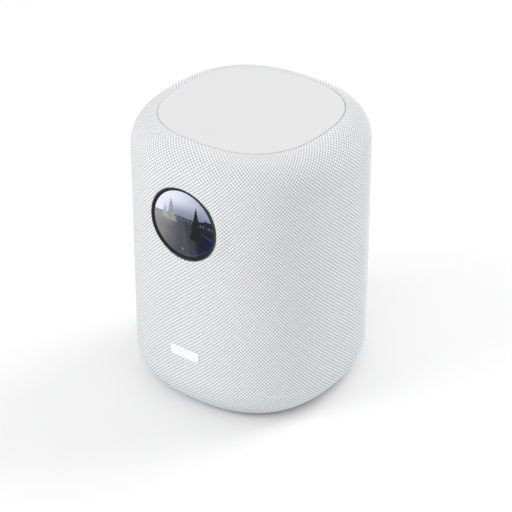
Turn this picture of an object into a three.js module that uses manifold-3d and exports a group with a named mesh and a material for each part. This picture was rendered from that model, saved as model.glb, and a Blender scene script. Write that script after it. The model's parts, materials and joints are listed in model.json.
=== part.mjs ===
// A tabletop smart display: a fabric-covered loudspeaker column with a rounded-square plan,
// a round touch screen in its front, a touch panel on top and sockets at the lower back.
// Millimetres, +Z up, the front faces -Y, and the origin is the middle of the foot's underside.
import * as THREE from "three";
import { mergeVertices } from "three/addons/utils/BufferGeometryUtils.js";
import Module from "manifold-3d";

const wasm = await Module();
wasm.setup();

// ---------------------------------------------------------------- driving dimensions
const HALF = 73; // half of the body's width and depth, to the fabric's outer face
const HEIGHT = 193; // foot's underside to the touch panel's face
const ROUNDNESS = 2.41; // exponent of the plan's superellipse: 2 is a circle, larger is squarer
const SEGMENTS = 40; // facets around the body
const TURNED_SEGMENTS = 28; // facets around a turned piece
const TWEETER_SEGMENTS = 20;
const SCREEN_SEGMENTS = 36; // facets around the round screen's pieces
const SMALL_SEGMENTS = 12; // facets around a screw, a post or a hole for one

const GAP = 0.3; // clearance between pieces that touch on the real object
const FABRIC = 1.0; // fabric thickness
const CAGE_WALL = 2.2;
const CAGE_AIR = 1.5; // space between the cage and the housings inside it
const HOUSING_WALL = 2.4;

const SHOULDER_INSET = 17.5; // how far the top edge rolls inwards, up to the touch panel
const SHOULDER_DROP = 21.5; // how far down the roll starts
const SKIRT_INSET = 20.5; // the same two sizes at the bottom edge
const SKIRT_RISE = 24.5;
const FABRIC_FLOOR = 1.5; // height of the fabric's lowest point
const FABRIC_TUCK = 19.5; // inset where the fabric ends on the underside

const PANEL_THICK = 3.0; // touch panel
const PANEL_PROUD = 0.6; // touch panel's face above the fabric's edge
const TOUCH_BOARD_THICK = 1.6;
const DECK_THICK = 3.0; // plate that carries the touch panel
const DECK_INSET = 13.4; // the deck's edge, just under the cage's roll
const DECK_RIM_WIDTH = 3.2;

const FOOT_THICK = 2.2;
const FOOT_WIDTH = 8;
const FOOT_INSET = 23;
const BASE_SCREW_INSET = 12.4; // from the foot ring's inner edge, at a corner, to a screw's axis
const BASE_PLATE_Z = 1.2; // height of the base plate's underside
const BASE_LIP = 1.3; // thickness of the base plate's edge
const BASE_CORE = 4.3; // thickness of the base plate inside the cage's flange
const CAGE_FLANGE_Z = 2.8;
const CAGE_FLANGE_THICK = 2.2;
const CAGE_FLANGE_INSET = 21;

const DISPLAY_BELOW_TOP = 51.3; // from the touch panel's face down to the screen's centre
const TRIM_OVERLAP = 1.8; // how far the trim ring's edge stands out past the screen module's
const TRIM_WIDTH = 0.9;
const LENS_THICK = 1.8;
const SCREEN_MODULE_RADIUS = 23.6;
const SCREEN_MODULE_THICK = 2.6;
const SCREEN_MODULE_AIR = 0.4; // clearance round the module in its bracket
const SCREEN_BEZEL = 1.0; // how far the gasket covers the module's edge
const BRACKET_FLANGE = 3.2;
const POCKET_AIR = 2.6; // clearance round the bracket in the enclosure's recess
const POCKET_DEPTH = 16; // from the body's front tangent plane
const CABLE_ROOM = 1.5; // extra room under the bracket for the ribbon cable
const LENS_SEAT = 0.1; // clearance on each side of the gasket
const GASKET_THICK = 0.8;
const SCREEN_BOARD_GAP = 0.8;
const BRACKET_WALL = 2.2;

const WOOFER_BELOW_TOP = 33; // from the touch panel's face down to the woofer's seat
const WOOFER_DEPTH = 32; // from the seat down to the underside of the basket's back ring
const WOOFER_FLANGE_THICK = 3;
const WOOFER_FLANGE_WIDTH = 7;
const CONE_RADIUS = 38.4;
const SURROUND_WIDTH = 7.2;
const COIL_RADIUS = 12.9; // outside of the voice coil's former
const COIL_AIR = 0.6; // clearance on each side of the coil in the magnet's gap
const COIL_WIRE = 0.5; // thickness of the former, and of the winding on it
const SPIDER_WIDTH = 20.4;
const MAGNET_RADIUS = 32;
const MAGNET_THICK = 10.4;
const TOP_PLATE_THICK = 3.7;
const YOKE_THICK = 5;

const TWEETER_Z = 88;
const TWEETER_TURN = Math.PI / 4; // each side of the front, on the plan's corners
const TWEETER_INSET = 11.7; // from the body's corner to the face that a tweeter sits on
const TWEETER_DEPTH = 13.5;
const TWEETER_BOSS_WALL = 3.3;
const DOME_RADIUS = 12.4;
const TWEETER_SURROUND_WIDTH = 2.8;
const TWEETER_RIM = 5.1; // how far the motor reaches past the dome
const TWEETER_LIP = 1.7; // how far the faceplate reaches past the motor

const BAY_TOP = 58.7; // top of the electronics housing
const FLOOR_THICK = 3.0; // enclosure floor
const ENCLOSURE_LID = 3.2;
const FOAM_INSET = 28;
const FOAM_AIR = 9; // room between the foam and the woofer

const BADGE = { z: 45.4, width: 22.4, height: 7.2, corner: 1.6, thick: 0.8 };

const SOCKET_Z = 42; // centre height of the socket panel
const SOCKET_PANEL = { width: 70, height: 28, corner: 6, thick: 3, proud: 0.8, rim: 4 };
const SOCKET_RECESS = 7; // from the body's back tangent plane in to the face with the sockets
const INLET = { x: 18, width: 19, height: 11.5, cavityWidth: 13.2, cavityHeight: 8, depth: 12 };
const INLET_PIN_PITCH = 8.6;
const INLET_PIN_RADIUS = 1.2;
const NETWORK = { x: -2, width: 16, height: 13.5, depth: 19, mouth: 11.8, mouthHeight: 8 };
const AUDIO = { x: -16, radius: 3.9, bore: 1.8, body: 11 };
const BUTTON = { x: -25, z: 47, radius: 2.6, flange: 3.6 };
const SWITCH = { x: -26, z: 37.5, knob: 2.6, knobHeight: 2.4, travel: 2 };

const POWER_BOARD_Z = 12;
const MAIN_BOARD_Z = 33.1;
const BOARD_THICK = 1.6;
const BOARD_POST = { x: 38, y: 35 }; // where the main board's posts stand

const CAGE_COLUMNS = 20;
const WINDOW_WIDTH = 14;
const WINDOW_HEIGHT = 18;
const WINDOW_PITCH = 29;
const WINDOW_ROWS = 5;
const FIRST_WINDOW_Z = 42;

// ---------------------------------------------------------------- sizes that follow from them
const DEEPEST_INSET = 32; // further in than this, the plan's outline shrinks evenly

// How far in front of the axis the plan's outline is, at an x and an inset.
function planDepth(x, inset) {
  const reach = HALF - inset;
  return reach * (1 - (Math.abs(x) / reach) ** ROUNDNESS) ** (1 / ROUNDNESS);
}

const FABRIC_TOP = HEIGHT - PANEL_PROUD;
const SHOULDER_Z = FABRIC_TOP - SHOULDER_DROP; // where the roll at the top starts
const CAGE_OUTER = FABRIC + GAP;
const CAGE_INNER = CAGE_OUTER + CAGE_WALL;
const HOUSING_OUTER = CAGE_INNER + CAGE_AIR;
const HOUSING_INNER = HOUSING_OUTER + HOUSING_WALL;
const PANEL_BOTTOM = HEIGHT - PANEL_THICK;
const DECK_TOP = PANEL_BOTTOM - GAP - TOUCH_BOARD_THICK - 2 * GAP;
const DECK_BOTTOM = DECK_TOP - DECK_THICK;
const DISPLAY_Z = HEIGHT - DISPLAY_BELOW_TOP;
const WOOFER_FLANGE_Z = HEIGHT - WOOFER_BELOW_TOP;
const ENCLOSURE_TOP = WOOFER_FLANGE_Z - GAP;
const SCREEN_STACK = LENS_THICK + 2 * LENS_SEAT + GASKET_THICK + SCREEN_MODULE_THICK;
const TRIM_RADIUS = SCREEN_MODULE_RADIUS + TRIM_OVERLAP;
const BRACKET_RADIUS = SCREEN_MODULE_RADIUS + SCREEN_MODULE_AIR + BRACKET_WALL;
const BRACKET_DEPTH = LENS_THICK + GAP + 0.9; // from the lens's face to the bracket's front edge
// The bracket's edge stands just behind the fabric where the fabric has curved away furthest.
const DISPLAY_Y = GAP - planDepth(BRACKET_RADIUS, FABRIC) - BRACKET_DEPTH;
const SCREEN_BOARD_BACK_Y = DISPLAY_Y + SCREEN_STACK + SCREEN_BOARD_GAP + BOARD_THICK;
const CAGE_DISPLAY_HOLE = BRACKET_RADIUS + BRACKET_FLANGE + GAP;
// The recess in the enclosure's front that holds the screen assembly.
const POCKET_HALF = BRACKET_RADIUS + BRACKET_FLANGE + POCKET_AIR;
const POCKET_Y = POCKET_DEPTH - HALF;
const POCKET_Z = DISPLAY_Z - POCKET_HALF - CABLE_ROOM;
const SOCKET_FACE_Y = HALF - SOCKET_RECESS;
const SOCKET_BACK_Y = SOCKET_FACE_Y - SOCKET_PANEL.thick;
const WOOFER_MOUTH = CONE_RADIUS + SURROUND_WIDTH - 0.6; // inner edge of the basket's flange
const WOOFER_CUTOUT = WOOFER_MOUTH + 2; // radius of the hole in the enclosure
const WOOFER_FLANGE_RADIUS = WOOFER_MOUTH + WOOFER_FLANGE_WIDTH;
const WOOFER_BACK_Z = WOOFER_FLANGE_Z - WOOFER_DEPTH;
const MAGNET_TOP = WOOFER_BACK_Z - TOP_PLATE_THICK - 2 * GAP;
const YOKE_TOP = MAGNET_TOP - MAGNET_THICK - GAP;
const CORNER_REACH = HALF * 2 ** (0.5 - 1 / ROUNDNESS); // from the axis to the plan's corner
const TWEETER_SEAT = CORNER_REACH - TWEETER_INSET;
const TWEETER_MOTOR_RADIUS = DOME_RADIUS + TWEETER_RIM;
const TWEETER_FACE_RADIUS = TWEETER_MOTOR_RADIUS + TWEETER_LIP;
const BASE_SCREW_RADIUS = CORNER_REACH - FOOT_INSET - FOOT_WIDTH - BASE_SCREW_INSET;
const DECK_LEG_RADIUS = WOOFER_FLANGE_RADIUS + 5;

// ---------------------------------------------------------------- materials
function paint(colour, roughness, metalness = 0) {
  return new THREE.MeshStandardMaterial({ color: colour, roughness, metalness });
}
const WHITE_FABRIC = paint(0xe9eaec, 0.9);
const WHITE_PLASTIC = paint(0xe8e8e8, 0.45);
const GREY_PLASTIC = paint(0xc9cacc, 0.55);
const BLACK_PLASTIC = paint(0x1c1d20, 0.4);
const SCREEN_GLASS = paint(0x15161a, 0.05);
const RUBBER = paint(0xb9babc, 0.8);
const PAPER_CONE = paint(0x2a2b2d, 0.85);
const SILK = paint(0x1f2023, 0.7);
const STEEL = paint(0xa9abae, 0.35, 1);
const FERRITE = paint(0x35363a, 0.7);
const ALUMINIUM = paint(0xbfc1c4, 0.4, 1);
const COPPER = paint(0xb87545, 0.35, 1);
const BOARD_GREEN = paint(0x1f4d38, 0.5);
const FOAM = paint(0x6f7276, 0.95);
const POLYIMIDE = paint(0x9a5a1c, 0.4);

// ---------------------------------------------------------------- solids and booleans
// A closed three.js geometry as a manifold-3d solid, without the zero-area faces at a lathe's axis.
function solid(geometry) {
  const loose = geometry.index ? geometry.toNonIndexed() : geometry;
  const bare = new THREE.BufferGeometry();
  bare.setAttribute("position", loose.getAttribute("position"));
  const merged = mergeVertices(bare, 1e-4);
  const corners = merged.index.array;
  const kept = [];
  for (let i = 0; i < corners.length; i += 3) {
    const [a, b, c] = [corners[i], corners[i + 1], corners[i + 2]];
    if (a !== b && b !== c && c !== a) kept.push(a, b, c);
  }
  return new wasm.Manifold(
    new wasm.Mesh({
      numProp: 3,
      vertProperties: merged.attributes.position.array,
      triVerts: new Uint32Array(kept),
    }),
  );
}

// A manifold-3d solid back as a three.js geometry.
function geometryOf(made) {
  const { vertProperties, triVerts } = made.getMesh();
  const geometry = new THREE.BufferGeometry();
  geometry.setAttribute("position", new THREE.BufferAttribute(vertProperties, 3));
  geometry.setIndex(new THREE.BufferAttribute(triVerts, 1));
  geometry.computeVertexNormals();
  return geometry;
}

function join(first, ...others) {
  return others.reduce((sum, one) => sum.add(one), first);
}

function cut(first, ...others) {
  return others.reduce((rest, one) => rest.subtract(one), first);
}

// ---------------------------------------------------------------- shape helpers
// The profile, as [radius, height] pairs, in the order that makes a lathe's faces point out.
function lathePoints(profile) {
  let area = 0;
  profile.forEach(([r, z], i) => {
    const [nextR, nextZ] = profile[(i + 1) % profile.length];
    area += r * nextZ - nextR * z;
  });
  const ordered = area > 0 ? profile : [...profile].reverse();
  return ordered.map(([r, z]) => new THREE.Vector2(r, z));
}

// A body of revolution about Z. The profile starts and ends on the axis, or closes on itself.
function turned(profile, segments = TURNED_SEGMENTS) {
  const points = lathePoints(profile);
  if (profile.every(([r]) => r > 0)) points.push(points[0].clone());
  return new THREE.LatheGeometry(points, segments).rotateX(Math.PI / 2);
}

function disc(radius, low, high, segments = TURNED_SEGMENTS) {
  return turned([[0, low], [radius, low], [radius, high], [0, high]], segments);
}

function ring(inner, outer, low, high, segments = TURNED_SEGMENTS) {
  return turned([[inner, low], [outer, low], [outer, high], [inner, high]], segments);
}

// The plan's outline at an angle, moved inwards along its normal by inset. Deep inside the body,
// where that would fold over itself, the outline shrinks evenly instead.
function planPoint(angle, inset) {
  const [c, s] = [Math.cos(angle), Math.sin(angle)];
  const radius = HALF * (Math.abs(c) ** ROUNDNESS + Math.abs(s) ** ROUNDNESS) ** (-1 / ROUNDNESS);
  const normal = new THREE.Vector2(
    Math.sign(c) * Math.abs(c) ** (ROUNDNESS - 1),
    Math.sign(s) * Math.abs(s) ** (ROUNDNESS - 1),
  ).normalize();
  const point = new THREE.Vector2(radius * c, radius * s);
  point.addScaledVector(normal, -Math.min(inset, DEEPEST_INSET));
  if (inset > DEEPEST_INSET) {
    point.multiplyScalar((HALF - inset) / (HALF - DEEPEST_INSET));
  }
  return point;
}

// A lathe whose rings follow the plan instead of a circle. The profile holds [inset, height] pairs.
function planLathe(profile, closesOnItself) {
  const radial = profile.map(([inset, z]) => [HALF - inset, z]);
  const points = lathePoints(radial);
  if (closesOnItself) points.push(points[0].clone());
  const lathe = new THREE.LatheGeometry(points, SEGMENTS).rotateX(Math.PI / 2);
  const place = lathe.getAttribute("position");
  for (let i = 0; i < place.count; i++) {
    const [x, y] = [place.getX(i), place.getY(i)];
    const radius = Math.hypot(x, y);
    if (radius > 1e-6) {
      const moved = planPoint(Math.atan2(y, x), HALF - radius);
      place.setXY(i, moved.x, moved.y);
    }
  }
  return lathe;
}

function planRing(profile) {
  return planLathe(profile, true);
}

// A solid with flat ends through [inset, height] levels, from the lowest to the highest.
function planSolid(levels) {
  const [bottom, top] = [levels[0][1], levels[levels.length - 1][1]];
  return planLathe([[HALF, bottom], ...levels, [HALF, top]], false);
}

// Points of a quarter ellipse from the wall, at inset wall, to its end at inset centre.
function roll(centreInset, centreZ, width, height, steps) {
  return Array.from({ length: steps + 1 }, (_, i) => {
    const turn = ((Math.PI / 2) * i) / steps;
    return [centreInset - width * Math.cos(turn), centreZ + height * Math.sin(turn)];
  });
}

// The body's side profile at a depth under the fabric's face: from its bottom end, up the skirt,
// the wall and the shoulder. The bottom end is at the stated height.
function sideProfile(depth, bottomZ, steps = 3) {
  const [width, height] = [SKIRT_INSET - depth, SKIRT_RISE - depth];
  const lowest = Math.asin((SKIRT_RISE - bottomZ) / height);
  const skirt = Array.from({ length: steps + 1 }, (_, i) => {
    const turn = lowest * (1 - i / steps);
    return [SKIRT_INSET - width * Math.cos(turn), SKIRT_RISE - height * Math.sin(turn)];
  });
  const [inwards, upwards] = [SHOULDER_INSET - depth, SHOULDER_DROP - depth];
  return [...skirt, ...roll(SHOULDER_INSET, SHOULDER_Z, inwards, upwards, steps + 1)];
}

function roundedRectangle(width, height, corner) {
  const [w, h] = [width / 2, height / 2];
  const shape = new THREE.Shape();
  shape.moveTo(-w + corner, -h);
  shape.lineTo(w - corner, -h);
  shape.absarc(w - corner, -h + corner, corner, -Math.PI / 2, 0);
  shape.lineTo(w, h - corner);
  shape.absarc(w - corner, h - corner, corner, 0, Math.PI / 2);
  shape.lineTo(-w + corner, h);
  shape.absarc(-w + corner, h - corner, corner, Math.PI / 2, Math.PI);
  shape.lineTo(-w, -h + corner);
  shape.absarc(-w + corner, -h + corner, corner, Math.PI, 1.5 * Math.PI);
  return shape;
}

// A shape drawn in X and Z, as a prism from one Y to another.
function prismAlongY(shape, near, far, curveSegments = 3) {
  return new THREE.ExtrudeGeometry(shape, { depth: far - near, bevelEnabled: false, curveSegments })
    .rotateX(Math.PI / 2)
    .translate(0, far, 0);
}

function socketHole(width, height, corner, x, z, near, far) {
  return prismAlongY(roundedRectangle(width, height, corner), near, far).translate(x, 0, z);
}

// A box given by its two corners.
function block(low, high) {
  const size = high.map((v, i) => v - low[i]);
  return new THREE.BoxGeometry(...size).translate(...low.map((v, i) => v + size[i] / 2));
}

function rodAlongY(radius, near, far, x, z, segments = 16) {
  return disc(radius, near, far, segments).rotateX(-Math.PI / 2).translate(x, 0, z);
}

// ---------------------------------------------------------------- the scene
const display = new THREE.Group();

function add(name, shape, material, parent = display) {
  const geometry = shape.isBufferGeometry ? shape : geometryOf(shape);
  const mesh = new THREE.Mesh(geometry, material);
  mesh.name = name;
  parent.add(mesh);
  return mesh;
}

// A group whose own +Z points out of the body, at an angle from the front about the body's axis.
function outwardGroup(turn, distance, z) {
  const turning = new THREE.Group();
  turning.rotation.z = turn;
  const facing = new THREE.Group();
  facing.rotation.x = Math.PI / 2;
  facing.position.set(0, -distance, z);
  turning.add(facing);
  display.add(turning);
  return facing;
}

// A solid made in an outward group's frame, moved to the body's frame for a boolean.
function outward(geometry, turn, distance, z) {
  return solid(geometry.clone().rotateX(Math.PI / 2).translate(0, -distance, z).rotateZ(turn));
}

// ---------------------------------------------------------------- skin and cage
const socketOutline = (margin) =>
  roundedRectangle(
    SOCKET_PANEL.width + 2 * margin,
    SOCKET_PANEL.height + 2 * margin,
    SOCKET_PANEL.corner + margin,
  );
const socketCutter = solid(
  prismAlongY(socketOutline(GAP), SOCKET_BACK_Y - 25, HALF + 5).translate(0, 0, SOCKET_Z),
);

function displayCutter(radius) {
  return outward(disc(radius, -9, 8, SCREEN_SEGMENTS), 0, HALF, DISPLAY_Z);
}

function addFabric() {
  const outer = sideProfile(0, FABRIC_FLOOR);
  const inner = sideProfile(FABRIC, FABRIC_FLOOR + FABRIC);
  const tuck = [[FABRIC_TUCK, FABRIC_FLOOR + FABRIC], [FABRIC_TUCK, FABRIC_FLOOR]];
  const sleeve = solid(planRing([...outer, ...inner.reverse(), ...tuck]));
  const holes = [displayCutter(TRIM_RADIUS + GAP), socketCutter];
  add("fabric_sleeve", cut(sleeve, ...holes), WHITE_FABRIC);
}

function cageWindow(angle, z, width, height, tilt) {
  const spot = planPoint(angle, CAGE_OUTER);
  const facing = Math.atan2(
    Math.sign(Math.sin(angle)) * Math.abs(Math.sin(angle)) ** (ROUNDNESS - 1),
    Math.sign(Math.cos(angle)) * Math.abs(Math.cos(angle)) ** (ROUNDNESS - 1),
  );
  const box = new THREE.BoxGeometry(24, width, height).rotateY(-tilt).rotateZ(facing);
  return solid(box.translate(spot.x, spot.y, z));
}

// Windows in even columns, left out where they would run into the screen or the sockets.
function cageWindows() {
  const windows = [];
  const clearOfScreen = CAGE_DISPLAY_HOLE + WINDOW_WIDTH / 2 + 3;
  const clearOfSockets = SOCKET_PANEL.width / 2 + WINDOW_WIDTH / 2;
  for (let column = 0; column < CAGE_COLUMNS; column++) {
    const angle = ((column + 0.5) * 2 * Math.PI) / CAGE_COLUMNS;
    const { x, y } = planPoint(angle, 0);
    for (let row = 0; row < WINDOW_ROWS; row++) {
      const z = FIRST_WINDOW_Z + row * WINDOW_PITCH;
      const inScreen = y < 0 && Math.hypot(x, z - DISPLAY_Z) < clearOfScreen;
      const lowest = SOCKET_Z + SOCKET_PANEL.height / 2 + WINDOW_HEIGHT / 2;
      const inSockets = y > 0 && Math.abs(x) < clearOfSockets && z < lowest;
      if (!inScreen && !inSockets) windows.push(cageWindow(angle, z, WINDOW_WIDTH, WINDOW_HEIGHT, 0));
    }
    if (column % 2) continue;
    const shoulder = planPoint(angle, SHOULDER_INSET * 0.3);
    const slot = new THREE.BoxGeometry(16, WINDOW_WIDTH * 0.72, 11).rotateY(-Math.PI / 4).rotateZ(angle);
    windows.push(solid(slot.translate(shoulder.x, shoulder.y, SHOULDER_Z + SHOULDER_DROP * 0.62)));
  }
  return windows;
}

function addCage() {
  const outer = sideProfile(CAGE_OUTER, CAGE_FLANGE_Z);
  const inner = sideProfile(CAGE_INNER, CAGE_FLANGE_Z + CAGE_FLANGE_THICK);
  const flange = [
    [CAGE_FLANGE_INSET, CAGE_FLANGE_Z + CAGE_FLANGE_THICK],
    [CAGE_FLANGE_INSET, CAGE_FLANGE_Z],
  ];
  const whole = solid(planRing([...outer, ...inner.reverse(), ...flange]));
  const open = cut(whole, displayCutter(CAGE_DISPLAY_HOLE), socketCutter, ...cageWindows());
  const reach = HALF + 5;
  const half = (near, far) => solid(block([-reach, near, 0], [reach, far, HEIGHT]));
  add("front_cage", open.intersect(half(-reach, -GAP / 2)), GREY_PLASTIC);
  add("rear_cage", open.intersect(half(GAP / 2, reach)), GREY_PLASTIC);
}

// A blank badge low on the front: a thin rounded plate, standing on the fabric.
function addBadge() {
  const outline = roundedRectangle(BADGE.width, BADGE.height, BADGE.corner);
  const bar = prismAlongY(outline, -HALF - 3, -HALF + 6).translate(0, 0, BADGE.z);
  const [low, high] = [BADGE.z - BADGE.height, BADGE.z + BADGE.height];
  const outside = solid(planSolid([[-BADGE.thick, low], [-BADGE.thick, high]]));
  const inside = solid(planSolid([[-0.05, low - 1], [-0.05, high + 1]]));
  add("name_badge", solid(bar).intersect(outside).subtract(inside), WHITE_PLASTIC);
}

// ---------------------------------------------------------------- top
function addTop() {
  const edge = SHOULDER_INSET + GAP;
  const panel = planSolid([
    [edge, PANEL_BOTTOM],
    [edge, HEIGHT - 0.8],
    [edge + 0.25, HEIGHT - 0.25],
    [edge + 0.8, HEIGHT],
  ]);
  add("top_panel", panel, WHITE_PLASTIC);

  const rimInset = edge + 0.5;
  const boardInset = rimInset + DECK_RIM_WIDTH + GAP;
  const boardBottom = PANEL_BOTTOM - GAP - TOUCH_BOARD_THICK;
  const board = planSolid([[boardInset, boardBottom], [boardInset, boardBottom + TOUCH_BOARD_THICK]]);
  add("touch_board", board, BOARD_GREEN);

  const plate = solid(planSolid([[DECK_INSET, DECK_BOTTOM], [DECK_INSET, DECK_TOP]]));
  const rim = solid(
    planRing([
      [rimInset, DECK_TOP - 1],
      [rimInset, PANEL_BOTTOM - GAP],
      [rimInset + DECK_RIM_WIDTH, PANEL_BOTTOM - GAP],
      [rimInset + DECK_RIM_WIDTH, DECK_TOP - 1],
    ]),
  );
  const legs = [1, 3, 5, 7].map((eighth) => {
    const angle = (eighth * Math.PI) / 4;
    const leg = disc(3.5, WOOFER_FLANGE_Z, DECK_BOTTOM + 1, SMALL_SEGMENTS);
    return solid(leg.translate(DECK_LEG_RADIUS * Math.cos(angle), DECK_LEG_RADIUS * Math.sin(angle), 0));
  });
  add("top_deck", join(plate, rim, ...legs), GREY_PLASTIC);

  const diffuserTop = DECK_BOTTOM - GAP;
  const diffuser = turned([
    [0, diffuserTop],
    [28, diffuserTop],
    [27.5, diffuserTop - 1],
    [18, diffuserTop - 3],
    [8, diffuserTop - 7],
    [0, diffuserTop - 9],
  ]);
  add("sound_diffuser", diffuser, BLACK_PLASTIC);
}

// ---------------------------------------------------------------- base
const screwSpots = [1, 3, 5, 7].map((eighth) => {
  const angle = (eighth * Math.PI) / 4;
  return [BASE_SCREW_RADIUS * Math.cos(angle), BASE_SCREW_RADIUS * Math.sin(angle)];
});

function addBase() {
  const lipInset = FABRIC_TUCK + GAP;
  const coreInset = CAGE_FLANGE_INSET + GAP;
  const lipTop = BASE_PLATE_Z + BASE_LIP;
  const plate = solid(
    planSolid([
      [lipInset, BASE_PLATE_Z],
      [lipInset, lipTop],
      [coreInset, lipTop],
      [coreInset, BASE_PLATE_Z + BASE_CORE],
    ]),
  );
  const grooveInset = FOOT_INSET - GAP;
  const grooveEnd = FOOT_INSET + FOOT_WIDTH + GAP;
  const groove = solid(
    planRing([
      [grooveInset, 0],
      [grooveInset, FOOT_THICK + GAP],
      [grooveEnd, FOOT_THICK + GAP],
      [grooveEnd, 0],
    ]),
  );
  const drill = (radius, top) =>
    screwSpots.map(([x, y]) => solid(disc(radius, 0, top, SMALL_SEGMENTS).translate(x, y, 0)));
  const holes = drill(1.8, 10);
  const sinks = drill(3.4, BASE_PLATE_Z + 2);
  add("base_plate", cut(plate, groove, ...holes, ...sinks), GREY_PLASTIC);

  const foot = planRing([
    [FOOT_INSET, 0.4],
    [FOOT_INSET, FOOT_THICK],
    [FOOT_INSET + FOOT_WIDTH, FOOT_THICK],
    [FOOT_INSET + FOOT_WIDTH, 0.4],
    [FOOT_INSET + FOOT_WIDTH - 0.4, 0],
    [FOOT_INSET + 0.4, 0],
  ]);
  add("foot_ring", foot, RUBBER);

  screwSpots.forEach(([x, y], i) => {
    const head = BASE_PLATE_Z + 0.6;
    const seat = BASE_PLATE_Z + 2 - 0.1;
    const outline = [[0, head], [3.0, head], [3.0, seat], [1.4, seat], [1.4, 9.5], [0, 9.5]];
    const screw = turned(outline, SMALL_SEGMENTS);
    add(`base_screw_${i + 1}`, screw.translate(x, y, 0), STEEL);
  });
}

// ---------------------------------------------------------------- housings
function addElectronicsHousing() {
  const floorZ = BASE_PLATE_Z + BASE_CORE + 0.5;
  const shell = (depth, low, high) => {
    const skirt = sideProfile(depth, low, 2).filter(([, z]) => z <= SKIRT_RISE + 0.01);
    return solid(planSolid([...skirt, [depth, high]]));
  };
  const column = (radius, low, high) =>
    screwSpots.map(([x, y]) => solid(disc(radius, low, high, SMALL_SEGMENTS).translate(x, y, 0)));
  const bosses = column(3.6, floorZ + 0.5, POWER_BOARD_Z - GAP);
  const threads = column(1.7, 0, 10);
  const postTop = MAIN_BOARD_Z - GAP;
  const posts = [[-1, -1], [1, -1], [1, 1], [-1, 1]].map(([sideX, sideY]) => {
    const post = disc(2.4, floorZ + 0.5, postTop, SMALL_SEGMENTS);
    return solid(post.translate(sideX * BOARD_POST.x, sideY * BOARD_POST.y, 0));
  });
  const wall = cut(
    shell(HOUSING_OUTER, floorZ, BAY_TOP),
    shell(HOUSING_INNER, floorZ + 2, BAY_TOP + 1),
    socketCutter,
  );
  const ribbonSlot = solid(block([-8, -HALF, BAY_TOP - 14], [8, -HALF + 14, BAY_TOP + 1]));
  add("electronics_housing", cut(join(wall, ...bosses, ...posts), ...threads, ribbonSlot), GREY_PLASTIC);
}

function addEnclosure() {
  const floorZ = BAY_TOP + GAP;
  const tubZ = floorZ + FLOOR_THICK + GAP;
  const floor = planSolid([[HOUSING_OUTER, floorZ], [HOUSING_OUTER, floorZ + FLOOR_THICK]]);
  const ribbonNotch = solid(block([-8, -HALF, floorZ - 1], [8, -HALF + HOUSING_OUTER + 0.6, floorZ + 6]));
  add("enclosure_floor", cut(solid(floor), ribbonNotch), GREY_PLASTIC);

  const pocket = (grown) =>
    solid(
      block(
        [-POCKET_HALF - grown, -HALF - 5, POCKET_Z - grown],
        [POCKET_HALF + grown, POCKET_Y + grown, HEIGHT],
      ),
    );
  const outer = solid(planSolid([[HOUSING_OUTER, tubZ], [HOUSING_OUTER, ENCLOSURE_TOP]]));
  const inner = solid(
    planSolid([[HOUSING_INNER, tubZ - 1], [HOUSING_INNER, ENCLOSURE_TOP - ENCLOSURE_LID]]),
  );
  const tweeters = [-TWEETER_TURN, TWEETER_TURN];
  const bossRadius = TWEETER_FACE_RADIUS + TWEETER_BOSS_WALL;
  const bosses = tweeters.map((turn) =>
    outward(disc(bossRadius, 0.5 - TWEETER_DEPTH, 5), turn, TWEETER_SEAT, TWEETER_Z),
  );
  const seats = tweeters.map((turn) =>
    outward(disc(TWEETER_FACE_RADIUS + 0.4, 0, 20, TWEETER_SEGMENTS), turn, TWEETER_SEAT, TWEETER_Z),
  );
  const bores = tweeters.map((turn) =>
    outward(disc(TWEETER_MOTOR_RADIUS + 0.4, -20, 5, TWEETER_SEGMENTS), turn, TWEETER_SEAT, TWEETER_Z),
  );
  const cavity = inner.subtract(pocket(HOUSING_WALL));
  const tub = cut(outer, pocket(0), cavity);
  const mouth = solid(disc(WOOFER_CUTOUT, ENCLOSURE_TOP - 8, ENCLOSURE_TOP + 5));
  const collars = join(...bosses).intersect(outer);
  add("acoustic_enclosure", cut(join(tub, collars), mouth, ...seats, ...bores), GREY_PLASTIC);

  const foamTop = YOKE_TOP - YOKE_THICK - FOAM_AIR;
  const foam = planSolid([
    [FOAM_INSET + 3, tubZ],
    [FOAM_INSET, tubZ + 3],
    [FOAM_INSET, foamTop - 3],
    [FOAM_INSET + 3, foamTop],
  ]);
  add("damping_foam", foam, FOAM);
}

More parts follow.
